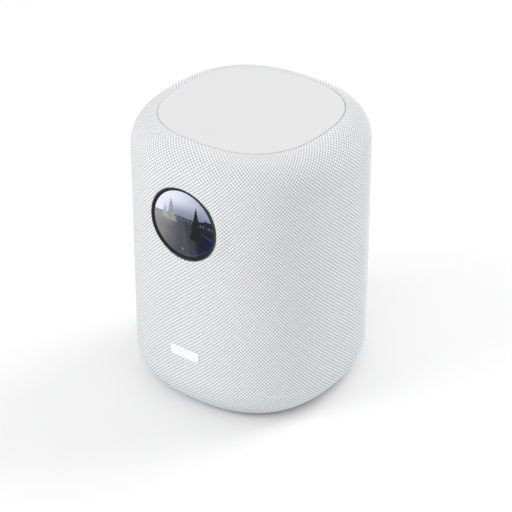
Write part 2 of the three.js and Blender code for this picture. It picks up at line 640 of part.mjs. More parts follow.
// ---------------------------------------------------------------- round screen
function addScreen() {
  const front = outwardGroup(0, -DISPLAY_Y, DISPLAY_Z);
  const trimInner = TRIM_RADIUS - TRIM_WIDTH;
  const bracketFront = -BRACKET_DEPTH;
  const trimOutline = [
    [trimInner, bracketFront + GAP],
    [TRIM_RADIUS, bracketFront + GAP],
    [TRIM_RADIUS, 0.1],
    [TRIM_RADIUS - 0.3, 0.4],
    [trimInner + 0.2, 0.4],
    [trimInner, 0.2],
  ];
  const trim = turned(trimOutline, SCREEN_SEGMENTS);
  add("screen_trim_ring", trim, BLACK_PLASTIC, front);

  const lensRadius = trimInner - 0.1;
  const lensOutline = [
    [0, -LENS_THICK],
    [lensRadius, -LENS_THICK],
    [lensRadius, -0.35],
    [lensRadius - 0.35, 0],
    [0, 0],
  ];
  const lens = turned(lensOutline, SCREEN_SEGMENTS);
  add("screen_lens", lens, SCREEN_GLASS, front);
  const gasketTop = -LENS_THICK - LENS_SEAT;
  const gasketInner = SCREEN_MODULE_RADIUS - SCREEN_BEZEL;
  const gasketOuter = lensRadius - LENS_SEAT;
  const gasket = ring(gasketInner, gasketOuter, gasketTop - GASKET_THICK, gasketTop, SCREEN_SEGMENTS);
  add("screen_gasket", gasket, FOAM, front);

  const moduleTop = gasketTop - GASKET_THICK - LENS_SEAT;
  const moduleBottom = moduleTop - SCREEN_MODULE_THICK;
  const module = disc(SCREEN_MODULE_RADIUS, moduleBottom, moduleTop, SCREEN_SEGMENTS);
  add("screen_panel", module, SCREEN_GLASS, front);

  const boardTop = moduleBottom - SCREEN_BOARD_GAP;
  const bracketBack = boardTop - BOARD_THICK - 0.6;
  const bore = BRACKET_RADIUS - BRACKET_WALL;
  const cup = ring(bore, BRACKET_RADIUS, bracketBack, bracketFront);
  const flange = ring(bore, BRACKET_RADIUS + BRACKET_FLANGE, bracketBack, bracketBack + 1.6);
  const posts = [1, 3, 5, 7].map((eighth) => {
    const angle = (eighth * Math.PI) / 4;
    const reach = BRACKET_RADIUS + 1.6;
    const post = disc(2.4, DISPLAY_Y - POCKET_Y + GAP, bracketBack + 1, SMALL_SEGMENTS);
    return solid(post.translate(reach * Math.cos(angle), reach * Math.sin(angle), 0));
  });
  add("screen_bracket", join(solid(cup), solid(flange), ...posts), BLACK_PLASTIC, front);
  add("screen_board", disc(bore - 1.4, boardTop - BOARD_THICK, boardTop), BOARD_GREEN, front);
}

// The flat cable from the screen's board down the enclosure's front to the main board.
function addRibbon() {
  const thick = 0.4;
  const width = 12;
  const gapY = -(HALF - (CAGE_INNER + HOUSING_OUTER) / 2);
  const boardBack = SCREEN_BOARD_BACK_Y + GAP + thick / 2;
  const centre = [
    [boardBack, DISPLAY_Z - 2],
    [boardBack, DISPLAY_Z - 10],
    [POCKET_Y - 3.5, DISPLAY_Z - 20],
    [POCKET_Y - 3.5, POCKET_Z + 4],
    [gapY, POCKET_Z + 1],
    [gapY, BAY_TOP - 5],
    [gapY + 2, BAY_TOP - 7],
    [-46, BAY_TOP - 7],
    [-38, MAIN_BOARD_Z + BOARD_THICK + 1.2],
    [-33, MAIN_BOARD_Z + BOARD_THICK + 1.2],
  ].map(([y, z]) => new THREE.Vector2(y, z));
  const side = (sign) =>
    centre.map((point, i) => {
      const before = centre[Math.max(i - 1, 0)];
      const after = centre[Math.min(i + 1, centre.length - 1)];
      const way = after.clone().sub(before).normalize();
      return new THREE.Vector2(-way.y, way.x).multiplyScalar((sign * thick) / 2).add(point);
    });
  const outline = new THREE.Shape([...side(1), ...side(-1).reverse()]);
  const strip = new THREE.ExtrudeGeometry(outline, { depth: width, bevelEnabled: false });
  // The outline is drawn with Y across and Z up, and the strip's width runs along X.
  strip.applyMatrix4(new THREE.Matrix4().set(0, 0, 1, -width / 2, 1, 0, 0, 0, 0, 1, 0, 0, 0, 0, 0, 1));
  add("screen_ribbon", strip, POLYIMIDE);
}

// ---------------------------------------------------------------- woofer, facing up under the deck
function addWoofer() {
  const flangeTop = WOOFER_FLANGE_Z + WOOFER_FLANGE_THICK;
  const backZ = WOOFER_BACK_Z;
  const ringInner = COIL_RADIUS + 3.1;
  const ringOuter = MAGNET_RADIUS - 2;
  const shelfZ = backZ + 13; // the ledge that the spider is glued to
  const shelfOuter = COIL_RADIUS + SPIDER_WIDTH + 1.2;
  const basketShape = solid(
    turned([
      [ringInner, backZ],
      [ringOuter, backZ],
      [WOOFER_MOUTH + 1.4, WOOFER_FLANGE_Z],
      [WOOFER_FLANGE_RADIUS, WOOFER_FLANGE_Z],
      [WOOFER_FLANGE_RADIUS, flangeTop],
      [WOOFER_MOUTH, flangeTop],
      [WOOFER_MOUTH, WOOFER_FLANGE_Z + 0.5],
      [shelfOuter, shelfZ],
      [shelfOuter - 4, shelfZ],
      [shelfOuter - 4, shelfZ - 2],
      [shelfOuter - 2.1, shelfZ - 2],
      [ringOuter - 2, backZ + 3],
      [ringInner, backZ + 3],
    ]),
  );
  const windows = Array.from({ length: 6 }, (_, i) => {
    const window = new THREE.BoxGeometry(40, 19, 14).rotateY(-0.35);
    window.translate(WOOFER_MOUTH + 1, 0, backZ + 22).rotateZ(((i + 0.5) * Math.PI) / 3);
    return solid(window);
  });
  add("woofer_basket", cut(basketShape, ...windows), STEEL);

  const coneTop = flangeTop;
  const neckZ = backZ + 18;
  const neck = COIL_RADIUS + 0.4;
  const paper = 0.9;
  const cone = turned([
    [neck, neckZ],
    [CONE_RADIUS - 1.6, coneTop - paper],
    [CONE_RADIUS, coneTop - paper],
    [CONE_RADIUS, coneTop],
    [CONE_RADIUS - 2.2, coneTop],
    [neck, neckZ + 1.4],
  ]);
  add("woofer_cone", cone, PAPER_CONE);

  const lip = flangeTop + GAP;
  const rollCentre = CONE_RADIUS + SURROUND_WIDTH / 2;
  const rollRadius = SURROUND_WIDTH / 2;
  const surroundEdge = WOOFER_FLANGE_RADIUS - 2.5;
  const skin = 0.6;
  const arc = (radius, backwards) => {
    const points = Array.from({ length: 5 }, (_, i) => {
      const turn = (Math.PI * i) / 4;
      return [rollCentre - radius * Math.cos(turn), lip + skin / 2 + radius * Math.sin(turn)];
    });
    return backwards ? points.reverse() : points;
  };
  const surround = turned([
    [CONE_RADIUS - 1.8, lip + skin],
    ...arc(rollRadius + skin / 2, false),
    [surroundEdge, lip + skin],
    [surroundEdge, lip],
    ...arc(rollRadius - skin / 2, true),
    [CONE_RADIUS - 1.8, lip],
  ]);
  add("woofer_surround", surround, RUBBER);

  const capBase = COIL_RADIUS + 2.7;
  const coneSlope = (coneTop - neckZ - 1.4) / (CONE_RADIUS - 2.2 - neck);
  const capZ = neckZ + 1.4 + (capBase - neck) * coneSlope + GAP;
  const capHeight = 5.5;
  const dome = (base, z, height) =>
    Array.from({ length: 4 }, (_, i) => {
      const turn = ((Math.PI / 2) * i) / 3;
      return [base * Math.cos(turn), z + height * Math.sin(turn)];
    });
  const cap = solid(turned([[0, capZ], ...dome(capBase, capZ, capHeight)]));
  const inside = dome(capBase - 0.8, capZ, capHeight - 0.7);
  const hollow = solid(turned([[0, capZ - 1], [capBase - 0.8, capZ - 1], ...inside]));
  add("woofer_dust_cap", cap.subtract(hollow), PAPER_CONE);

  const coilBottom = backZ - 5.5;
  const coil = turned([
    [COIL_RADIUS - COIL_WIRE, coilBottom],
    [COIL_RADIUS + COIL_WIRE, coilBottom],
    [COIL_RADIUS + COIL_WIRE, coilBottom + 10],
    [COIL_RADIUS, coilBottom + 10],
    [COIL_RADIUS, neckZ + 2.8],
    [COIL_RADIUS - COIL_WIRE, neckZ + 2.8],
  ]);
  add("woofer_voice_coil", coil, COPPER);

  const spiderZ = shelfZ + GAP;
  const spiderInner = COIL_RADIUS + GAP;
  const spiderOuter = spiderInner + SPIDER_WIDTH;
  const ripples = 3;
  const corrugation = (lift) =>
    Array.from({ length: ripples * 2 + 1 }, (_, i) => {
      const share = i / (ripples * 2);
      const ripple = i % 2 ? 1.2 : 0;
      return [spiderInner + (spiderOuter - spiderInner) * share, spiderZ + lift + ripple];
    });
  add("woofer_spider", turned([...corrugation(0), ...corrugation(0.5).reverse()]), SILK);

  const plateTop = backZ - GAP;
  const gapOuter = COIL_RADIUS + COIL_WIRE + COIL_AIR;
  const pole = COIL_RADIUS - COIL_WIRE - COIL_AIR;
  const magnetInner = COIL_RADIUS + 5.1;
  add("woofer_top_plate", ring(gapOuter, ringOuter, plateTop - TOP_PLATE_THICK, plateTop), STEEL);
  add("woofer_magnet", ring(magnetInner, MAGNET_RADIUS, MAGNET_TOP - MAGNET_THICK, MAGNET_TOP), FERRITE);
  const yoke = turned([
    [4, YOKE_TOP - YOKE_THICK],
    [ringOuter, YOKE_TOP - YOKE_THICK],
    [ringOuter, YOKE_TOP],
    [pole, YOKE_TOP],
    [pole, plateTop],
    [4, plateTop],
  ]);
  add("woofer_yoke", yoke, STEEL);
}

// ---------------------------------------------------------------- tweeters in the front corners
function addTweeter(side, turn) {
  const seat = outwardGroup(turn, TWEETER_SEAT, TWEETER_Z);
  const lipInner = DOME_RADIUS + GAP;
  const lipOuter = lipInner + TWEETER_SURROUND_WIDTH;
  const faceplate = turned(
    [
      [lipOuter + GAP, GAP],
      [TWEETER_FACE_RADIUS, GAP],
      [TWEETER_FACE_RADIUS, 2.8],
      [TWEETER_FACE_RADIUS - 0.6, 3.3],
      [TWEETER_FACE_RADIUS - 2, 3.3],
    ],
    TWEETER_SEGMENTS,
  );
  add(`tweeter_${side}_faceplate`, faceplate, BLACK_PLASTIC, seat);

  const slotInner = DOME_RADIUS - 1.0;
  const slotOuter = DOME_RADIUS + 0.6;
  const motor = turned(
    [
      [0, -TWEETER_DEPTH],
      [TWEETER_MOTOR_RADIUS, -TWEETER_DEPTH],
      [TWEETER_MOTOR_RADIUS, -GAP],
      [slotOuter, -GAP],
      [slotOuter, -8],
      [slotInner, -8],
      [slotInner, -0.8],
      [0, -0.8],
    ],
    TWEETER_SEGMENTS,
  );
  add(`tweeter_${side}_motor`, motor, STEEL, seat);

  const rise = 4.2;
  const cap = (radius, height, low) =>
    Array.from({ length: 4 }, (_, i) => {
      const tilt = ((Math.PI / 2) * i) / 3;
      return [radius * Math.cos(tilt), low + height * Math.sin(tilt)];
    });
  const skin = 0.4;
  const dome = turned(
    [
      [DOME_RADIUS - skin, -5],
      [DOME_RADIUS, -5],
      ...cap(DOME_RADIUS, rise, 0.9),
      ...cap(DOME_RADIUS - skin, rise - skin, 0.6).reverse(),
    ],
    TWEETER_SEGMENTS,
  );
  add(`tweeter_${side}_dome`, dome, SILK, seat);

  const middle = (lipInner + lipOuter) / 2;
  const surround = turned(
    [
      [lipInner, 0.3],
      [lipInner, 0.7],
      [middle - 0.6, 1.5],
      [middle + 0.6, 1.5],
      [lipOuter, 0.7],
      [lipOuter, 0.3],
      [middle, 1.1],
    ],
    TWEETER_SEGMENTS,
  );
  add(`tweeter_${side}_surround`, surround, SILK, seat);
}

// ---------------------------------------------------------------- socket panel at the back
function addSockets() {
  const { width, height, corner, proud, rim } = SOCKET_PANEL;
  const [low, high] = [SOCKET_Z - height, SOCKET_Z + height];
  const hull = solid(planSolid([[-proud, low], [-proud, high]]));
  const plug = solid(prismAlongY(socketOutline(0), SOCKET_BACK_Y, HALF + 4).translate(0, 0, SOCKET_Z));
  const [recessWidth, recessHeight] = [width - 2 * rim, height - 2 * rim];
  const recess = socketHole(recessWidth, recessHeight, corner - 2, 0, SOCKET_Z, SOCKET_FACE_Y, HALF + 5);
  const [near, far] = [SOCKET_BACK_Y - 2, SOCKET_FACE_Y + 2];
  const openings = [
    socketHole(INLET.width + 2 * GAP, INLET.height + 2 * GAP, 4, INLET.x, SOCKET_Z, near, far),
    socketHole(NETWORK.width + 2 * GAP, NETWORK.height + 2 * GAP, 1, NETWORK.x, SOCKET_Z, near, far),
    socketHole(
      SWITCH.knob + SWITCH.travel + 2 * GAP,
      SWITCH.knobHeight + 2 * GAP,
      0.6,
      SWITCH.x + SWITCH.travel / 2,
      SWITCH.z,
      near,
      far,
    ),
    rodAlongY(AUDIO.radius + GAP, near, far, AUDIO.x, SOCKET_Z),
    rodAlongY(BUTTON.radius + GAP, near, far, BUTTON.x, BUTTON.z),
  ];
  add("socket_panel", cut(plug.intersect(hull), solid(recess), ...openings.map(solid)), WHITE_PLASTIC);

  const face = SOCKET_FACE_Y + 0.4;
  const inletFloor = face - INLET.depth;
  const inletBack = inletFloor - 4;
  const inletBody = solid(socketHole(INLET.width, INLET.height, 3.7, INLET.x, SOCKET_Z, inletBack, face));
  const well = solid(
    socketHole(INLET.cavityWidth, INLET.cavityHeight, 3.9, INLET.x, SOCKET_Z, inletFloor, face + 1),
  );
  const pins = [-1, 1].map((side) => INLET.x + (side * INLET_PIN_PITCH) / 2);
  const pinHoles = pins.map((x) => solid(rodAlongY(INLET_PIN_RADIUS + GAP, 40, face, x, SOCKET_Z, 16)));
  add("mains_inlet", cut(inletBody, well, ...pinHoles), BLACK_PLASTIC);
  pins.forEach((x, i) => {
    const pin = rodAlongY(INLET_PIN_RADIUS, inletFloor - 7, face - 2, x, SOCKET_Z, 16);
    add(`mains_inlet_pin_${i + 1}`, pin, STEEL);
  });

  const jackFace = SOCKET_FACE_Y + 0.2;
  const jack = solid(
    socketHole(NETWORK.width, NETWORK.height, 0.6, NETWORK.x, SOCKET_Z, jackFace - NETWORK.depth, jackFace),
  );
  const jackMouth = solid(
    socketHole(NETWORK.mouth, NETWORK.mouthHeight, 0.4, NETWORK.x, SOCKET_Z, jackFace - 13, jackFace + 1),
  );
  add("network_jack", jack.subtract(jackMouth), STEEL);

  const barrel = solid(rodAlongY(AUDIO.radius, SOCKET_BACK_Y - 5, SOCKET_FACE_Y + 0.5, AUDIO.x, SOCKET_Z));
  const half = AUDIO.body / 2;
  const housing = solid(
    block(
      [AUDIO.x - half, SOCKET_BACK_Y - 14, SOCKET_Z - half],
      [AUDIO.x + half, SOCKET_BACK_Y - 4, SOCKET_Z + half],
    ),
  );
  const bore = solid(rodAlongY(AUDIO.bore, SOCKET_BACK_Y - 12, SOCKET_FACE_Y + 2, AUDIO.x, SOCKET_Z));
  add("audio_jack", cut(join(barrel, housing), bore), BLACK_PLASTIC);

  const buttonFace = SOCKET_FACE_Y + 0.8;
  const button = solid(rodAlongY(BUTTON.radius, SOCKET_BACK_Y - 2, buttonFace, BUTTON.x, BUTTON.z));
  const collar = solid(
    rodAlongY(BUTTON.flange, SOCKET_BACK_Y - 2.8, SOCKET_BACK_Y - GAP, BUTTON.x, BUTTON.z),
  );
  add("setup_button", join(button, collar), GREY_PLASTIC);

  const knobHalf = SWITCH.knob / 2;
  const rise = SWITCH.knobHeight / 2;
  const knob = solid(
    block(
      [SWITCH.x - knobHalf, SOCKET_BACK_Y - 1, SWITCH.z - rise],
      [SWITCH.x + knobHalf, SOCKET_FACE_Y + 0.6, SWITCH.z + rise],
    ),
  );
  const slider = solid(
    block(
      [SWITCH.x - 3.2, SOCKET_BACK_Y - 2.4, SWITCH.z - 2.6],
      [SWITCH.x + 3.2, SOCKET_BACK_Y - GAP, SWITCH.z + 2.6],
    ),
  );
  add("microphone_switch", join(knob, slider), BLACK_PLASTIC);
}

// ---------------------------------------------------------------- electronics
function addElectronics() {
  const board = (name, low, high, z) =>
    add(name, block([...low, z], [...high, z + BOARD_THICK]), BOARD_GREEN);
  board("power_board", [-40, -32], [40, 32], POWER_BOARD_Z);
  board("main_board", [-42, -38], [42, SOCKET_BACK_Y - 13], MAIN_BOARD_Z);

  const powerTop = POWER_BOARD_Z + BOARD_THICK + GAP;
  const core = solid(block([6, -24, powerTop], [30, -2, powerTop + 16]));
  const winding = solid(block([9, -27, powerTop + 3], [27, 1, powerTop + 13]));
  add("power_transformer", join(core, winding), FERRITE);
  const can = turned([[0, 0], [7.6, 0], [8, 0.6], [8, 16.4], [7.4, 17], [0, 17]], 28);
  add("mains_capacitor", can.translate(-20, -12, powerTop), ALUMINIUM);

  const mainTop = MAIN_BOARD_Z + BOARD_THICK + GAP;
  const fins = 7;
  const finPitch = 5.5;
  const sink = Array.from({ length: fins }, (_, i) => {
    const x = 2 + i * finPitch;
    return solid(block([x, -26, mainTop], [x + 1.6, 4, mainTop + 14]));
  });
  const plate = solid(block([2, -26, mainTop], [2 + (fins - 1) * finPitch + 1.6, 4, mainTop + 3]));
  add("heat_sink", join(plate, ...sink), ALUMINIUM);
  add("processor_shield", block([-30, -2, mainTop], [-6, 22, mainTop + 3]), STEEL);
  for (const [name, side] of [["wireless_antenna_left", -1], ["wireless_antenna_right", 1]]) {
    const x = side * (HALF - HOUSING_INNER - 1.7);
    add(name, block([x - 0.5, -16, MAIN_BOARD_Z + 5], [x + 0.5, 16, MAIN_BOARD_Z + 13]), BOARD_GREEN);
  }
}

addFabric();
addCage();
addBadge();
addTop();
addBase();
addElectronicsHousing();
addEnclosure();
addScreen();
addRibbon();
addWoofer();
addTweeter("left", -TWEETER_TURN);
addTweeter("right", TWEETER_TURN);
addSockets();
addElectronics();

export default display;
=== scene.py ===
import json
import math

import bmesh
import bpy
import numpy as np
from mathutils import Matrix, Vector, geometry

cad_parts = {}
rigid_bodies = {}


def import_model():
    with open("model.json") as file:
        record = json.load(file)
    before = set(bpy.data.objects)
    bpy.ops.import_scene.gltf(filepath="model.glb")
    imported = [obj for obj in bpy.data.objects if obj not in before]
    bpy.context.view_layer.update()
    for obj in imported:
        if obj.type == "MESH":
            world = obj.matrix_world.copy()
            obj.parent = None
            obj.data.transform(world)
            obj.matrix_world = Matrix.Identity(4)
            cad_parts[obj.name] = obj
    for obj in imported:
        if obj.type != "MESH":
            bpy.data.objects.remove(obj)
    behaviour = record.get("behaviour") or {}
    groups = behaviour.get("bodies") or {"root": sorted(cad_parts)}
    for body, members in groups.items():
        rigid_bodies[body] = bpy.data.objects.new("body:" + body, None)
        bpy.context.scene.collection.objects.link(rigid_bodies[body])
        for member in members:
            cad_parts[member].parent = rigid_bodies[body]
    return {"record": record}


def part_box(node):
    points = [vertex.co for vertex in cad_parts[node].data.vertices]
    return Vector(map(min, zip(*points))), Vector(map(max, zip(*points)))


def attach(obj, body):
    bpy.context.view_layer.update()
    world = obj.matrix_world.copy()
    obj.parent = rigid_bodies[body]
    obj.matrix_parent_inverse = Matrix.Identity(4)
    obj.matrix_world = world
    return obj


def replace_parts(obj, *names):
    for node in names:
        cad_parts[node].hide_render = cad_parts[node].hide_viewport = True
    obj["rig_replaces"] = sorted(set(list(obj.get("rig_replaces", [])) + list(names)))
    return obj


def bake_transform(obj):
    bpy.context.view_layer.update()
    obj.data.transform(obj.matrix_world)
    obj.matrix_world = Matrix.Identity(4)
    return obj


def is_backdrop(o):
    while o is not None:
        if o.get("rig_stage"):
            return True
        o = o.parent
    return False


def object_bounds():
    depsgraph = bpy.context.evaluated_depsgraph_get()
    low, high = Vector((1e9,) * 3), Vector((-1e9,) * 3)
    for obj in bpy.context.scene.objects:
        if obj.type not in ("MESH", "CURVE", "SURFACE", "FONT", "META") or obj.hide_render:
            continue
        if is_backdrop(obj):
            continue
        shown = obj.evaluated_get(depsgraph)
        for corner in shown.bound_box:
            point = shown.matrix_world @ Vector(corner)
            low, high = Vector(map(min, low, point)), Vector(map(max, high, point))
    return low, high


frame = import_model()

MM = 0.001
cad_low, cad_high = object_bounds()


def box(node):
    """A CAD node's lowest and highest corners, in millimetres."""
    return tuple(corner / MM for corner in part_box(node))


def add_to_scene(name, data):
    made = bpy.data.objects.new(name, data)
    bpy.context.scene.collection.objects.link(made)
    return made


# ------------------------------------------------------------ camera
def look_from(azimuth, elevation):
    """The direction from the object towards an eye at these angles, in degrees."""
    a, e = math.radians(azimuth), math.radians(elevation)
    return Vector((math.sin(a) * math.cos(e), -math.cos(a) * math.cos(e), math.sin(e)))


CAMERA_AZIMUTH, CAMERA_ELEVATION = 36.27, 31.654
CAMERA_DISTANCE = 1.4172
CAMERA_LENS = 150.6
CAMERA_SIDE_STEP = 2.848 * MM
AIM_HEIGHT = 82.75 * MM

back = look_from(CAMERA_AZIMUTH, CAMERA_ELEVATION)
azimuth = math.radians(CAMERA_AZIMUTH)
side = Vector((math.cos(azimuth), math.sin(azimuth), 0)) * CAMERA_SIDE_STEP
camera = add_to_scene("camera", bpy.data.cameras.new("camera"))
camera.data.lens = CAMERA_LENS
camera.data.sensor_width = 36
camera.data.clip_start, camera.data.clip_end = 0.05, 30
camera.location = Vector((0, 0, AIM_HEIGHT)) + side + back * CAMERA_DISTANCE
camera.rotation_mode = "QUATERNION"
camera.rotation_quaternion = (-back).to_track_quat("-Z", "Y")
bpy.context.scene.camera = camera


# ------------------------------------------------------------ node trees
class Field:
    """One output of a node. Arithmetic on it adds math nodes to its tree."""

    def __init__(self, tree, socket):
        self.tree, self.socket = tree, socket

    def __add__(self, other):
        return self.tree.calc("ADD", self, other)

    def __sub__(self, other):
        return self.tree.calc("SUBTRACT", self, other)

    def __rsub__(self, other):
        return self.tree.calc("SUBTRACT", other, self)

    def __mul__(self, other):
        return self.tree.calc("MULTIPLY", self, other)

    def __abs__(self):
        return self.tree.calc("ABSOLUTE", self)

    def spread(self, low, high, to_low=0.0, to_high=1.0, smooth=True):
        """Its range low to high, spread over to_low to to_high and held at the ends."""
        kind = "SMOOTHSTEP" if smooth else "LINEAR"
        inputs = {"Value": self, "From Min": low, "From Max": high, "To Min": to_low, "To Max": to_high}
        return self.tree.add("MapRange", inputs, interpolation_type=kind)


class Tree:
    """A material's node tree, built one node at a time. Each call returns the new node's output."""

    def __init__(self, name):
        self.material = bpy.data.materials.new(name)
        self.material.use_nodes = True
        self.nodes, self.links = self.material.node_tree.nodes, self.material.node_tree.links
        self.place = None

    def put(self, socket, value):
        if isinstance(value, Field):
            self.links.new(value.socket, socket)
        elif socket.type == "RGBA":
            socket.default_value = (*value, 1)
        else:
            socket.default_value = value

    def add(self, kind, inputs=None, output=0, **settings):
        node = self.nodes.new("ShaderNode" + kind)
        for key, value in settings.items():
            setattr(node, key, value)
        for key, value in (inputs or {}).items():
            self.put(node.inputs[key], value)
        return Field(self, node.outputs[output])

    def calc(self, operation, *values):
        return self.add("Math", dict(enumerate(values)), operation=operation)

    def mix(self, share, first, second, **settings):
        return self.add("Mix", {0: share, 6: first, 7: second}, 2, data_type="RGBA", **settings)

    def position(self):
        """The point on the surface in the row frame, in millimetres."""
        if self.place is None:
            self.place = self.stretched((1000, 1000, 1000), self.add("TexCoord", output=3))
        return self.place

    def vector(self, *values):
        return self.add("CombineXYZ", dict(enumerate(values)))

    def axes(self, vector=None):
        node = self.add("SeparateXYZ", {0: vector or self.position()}).socket.node
        return [Field(self, socket) for socket in node.outputs]

    def noise(self, per_mm, detail=2.0, rough=0.5, vector=None):
        inputs = {"Vector": vector or self.position(), "Scale": per_mm, "Detail": detail, "Roughness": rough}
        return self.add("TexNoise", inputs)

    def cells(self, inputs, **settings):
        return self.add("TexVoronoi", {"Vector": self.position(), **inputs}, **settings)

    def stretched(self, factors, vector=None):
        return self.add("VectorMath", {0: vector or self.position(), 1: factors}, operation="MULTIPLY")

    def bump(self, height, distance, below=None):
        inputs = {"Height": height, "Distance": distance * MM, "Strength": 1.0}
        if below is not None:
            inputs["Normal"] = below
        return self.add("Bump", inputs)

    def finish(self, **inputs):
        for key, value in inputs.items():
            self.put(self.nodes["Principled BSDF"].inputs[key.replace("_", " ")], value)
        return self.material


def plastic(name, colour, roughness, grain=0.006, grain_per_mm=3.0, uneven=0.07):
    """Moulded plastic: a fine spark-eroded grain, a slow drift of tone and rubbed, glossier patches."""
    tree = Tree(name)
    dark = tuple(c * (1 - uneven) for c in colour)
    return tree.finish(
        Base_Color=tree.mix(tree.noise(0.035, 3).spread(0.3, 0.7), dark, colour),
        Roughness=tree.noise(0.09, 4).spread(0.35, 0.7, roughness * (1 + uneven), roughness * (1 - uneven)),
        Normal=tree.bump(tree.noise(grain_per_mm, 3, 0.6), grain),
    )


def metal(name, colour, roughness, along=(0.15, 0.15, 6.0)):
    """Bare or plated metal with a drawn grain along one direction and a slight cloudiness."""
    tree = Tree(name)
    grain = tree.noise(1.0, 4, 0.6, tree.stretched(along))
    dark = tuple(c * 0.8 for c in colour)
    return tree.finish(
        Base_Color=tree.mix(tree.noise(0.12, 3).spread(0.3, 0.75), dark, colour),
        Metallic=1.0,
        Roughness=grain.spread(0.2, 0.8, roughness * 0.75, roughness * 1.3),
        Normal=tree.bump(grain, 0.004),
    )


FABRIC_LIGHT = (0.905, 0.907, 0.918)
# Painted shade: the colour of the sunken holes between stitches.
FABRIC_HOLE_SHADE = (0.43, 0.433, 0.447)
STITCH_BUMP, FIBRE_BUMP = 0.15, 0.035


def knitted_white():
    """Knitted sleeve. Its map counts stitches: bumps and holes alternate in both directions."""
    tree = Tree("fabric_white_knit")
    u, v, _ = tree.axes(tree.add("UVMap", uv_map="stitches"))
    relief = tree.calc("COSINE", u * math.tau) * tree.calc("COSINE", v * math.tau)
    # Each yarn float leans one way or the other, with fine fibres along it.
    fibres = tree.noise(1.0, 3, 0.6, tree.vector((u * 2.0 + v) * 9.0, v, u))
    fuzz = tree.noise(2.2, 3, 0.65)
    half_stitch = tree.vector(tree.calc("ROUND", u * 2.0), tree.calc("ROUND", v * 2.0))
    uneven = tree.add("TexWhiteNoise", {"Vector": half_stitch}, noise_dimensions="3D")
    tone = uneven.spread(0, 1, 0.965, 1.0, False) + fibres.spread(0.3, 0.7, -0.02, 0.0)
    tone = tone + tree.noise(0.03, 2).spread(0.3, 0.7, -0.012, 0.0)
    # Painted shade: the sunken stitch holes are darkened in colour.
    colour = tree.mix(relief.spread(0.75, -1.0), FABRIC_LIGHT, FABRIC_HOLE_SHADE)
    grey = tree.add("CombineColor", {0: tone, 1: tone, 2: tone})
    return tree.finish(
        Base_Color=tree.mix(1.0, colour, grey, blend_type="MULTIPLY"),
        Roughness=fuzz.spread(0.3, 0.7, 0.82, 0.95),
        Normal=tree.bump(relief, STITCH_BUMP, tree.bump(fibres + fuzz, FIBRE_BUMP)),
        Specular_IOR_Level=0.06,
    )


DISPLAY_LOW, DISPLAY_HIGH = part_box("screen_lens")
DISPLAY_Z = (DISPLAY_LOW.z + DISPLAY_HIGH.z) / 2 / MM
DISPLAY_FACE, DISPLAY_REAR = DISPLAY_LOW.y / MM, DISPLAY_HIGH.y / MM
LENS_RADIUS = (DISPLAY_HIGH.x - DISPLAY_LOW.x) / 2 / MM
PICTURE_RADIUS = 23.0
PICTURE_DEPTH = 0.45  # how far the picture lies behind the glass border


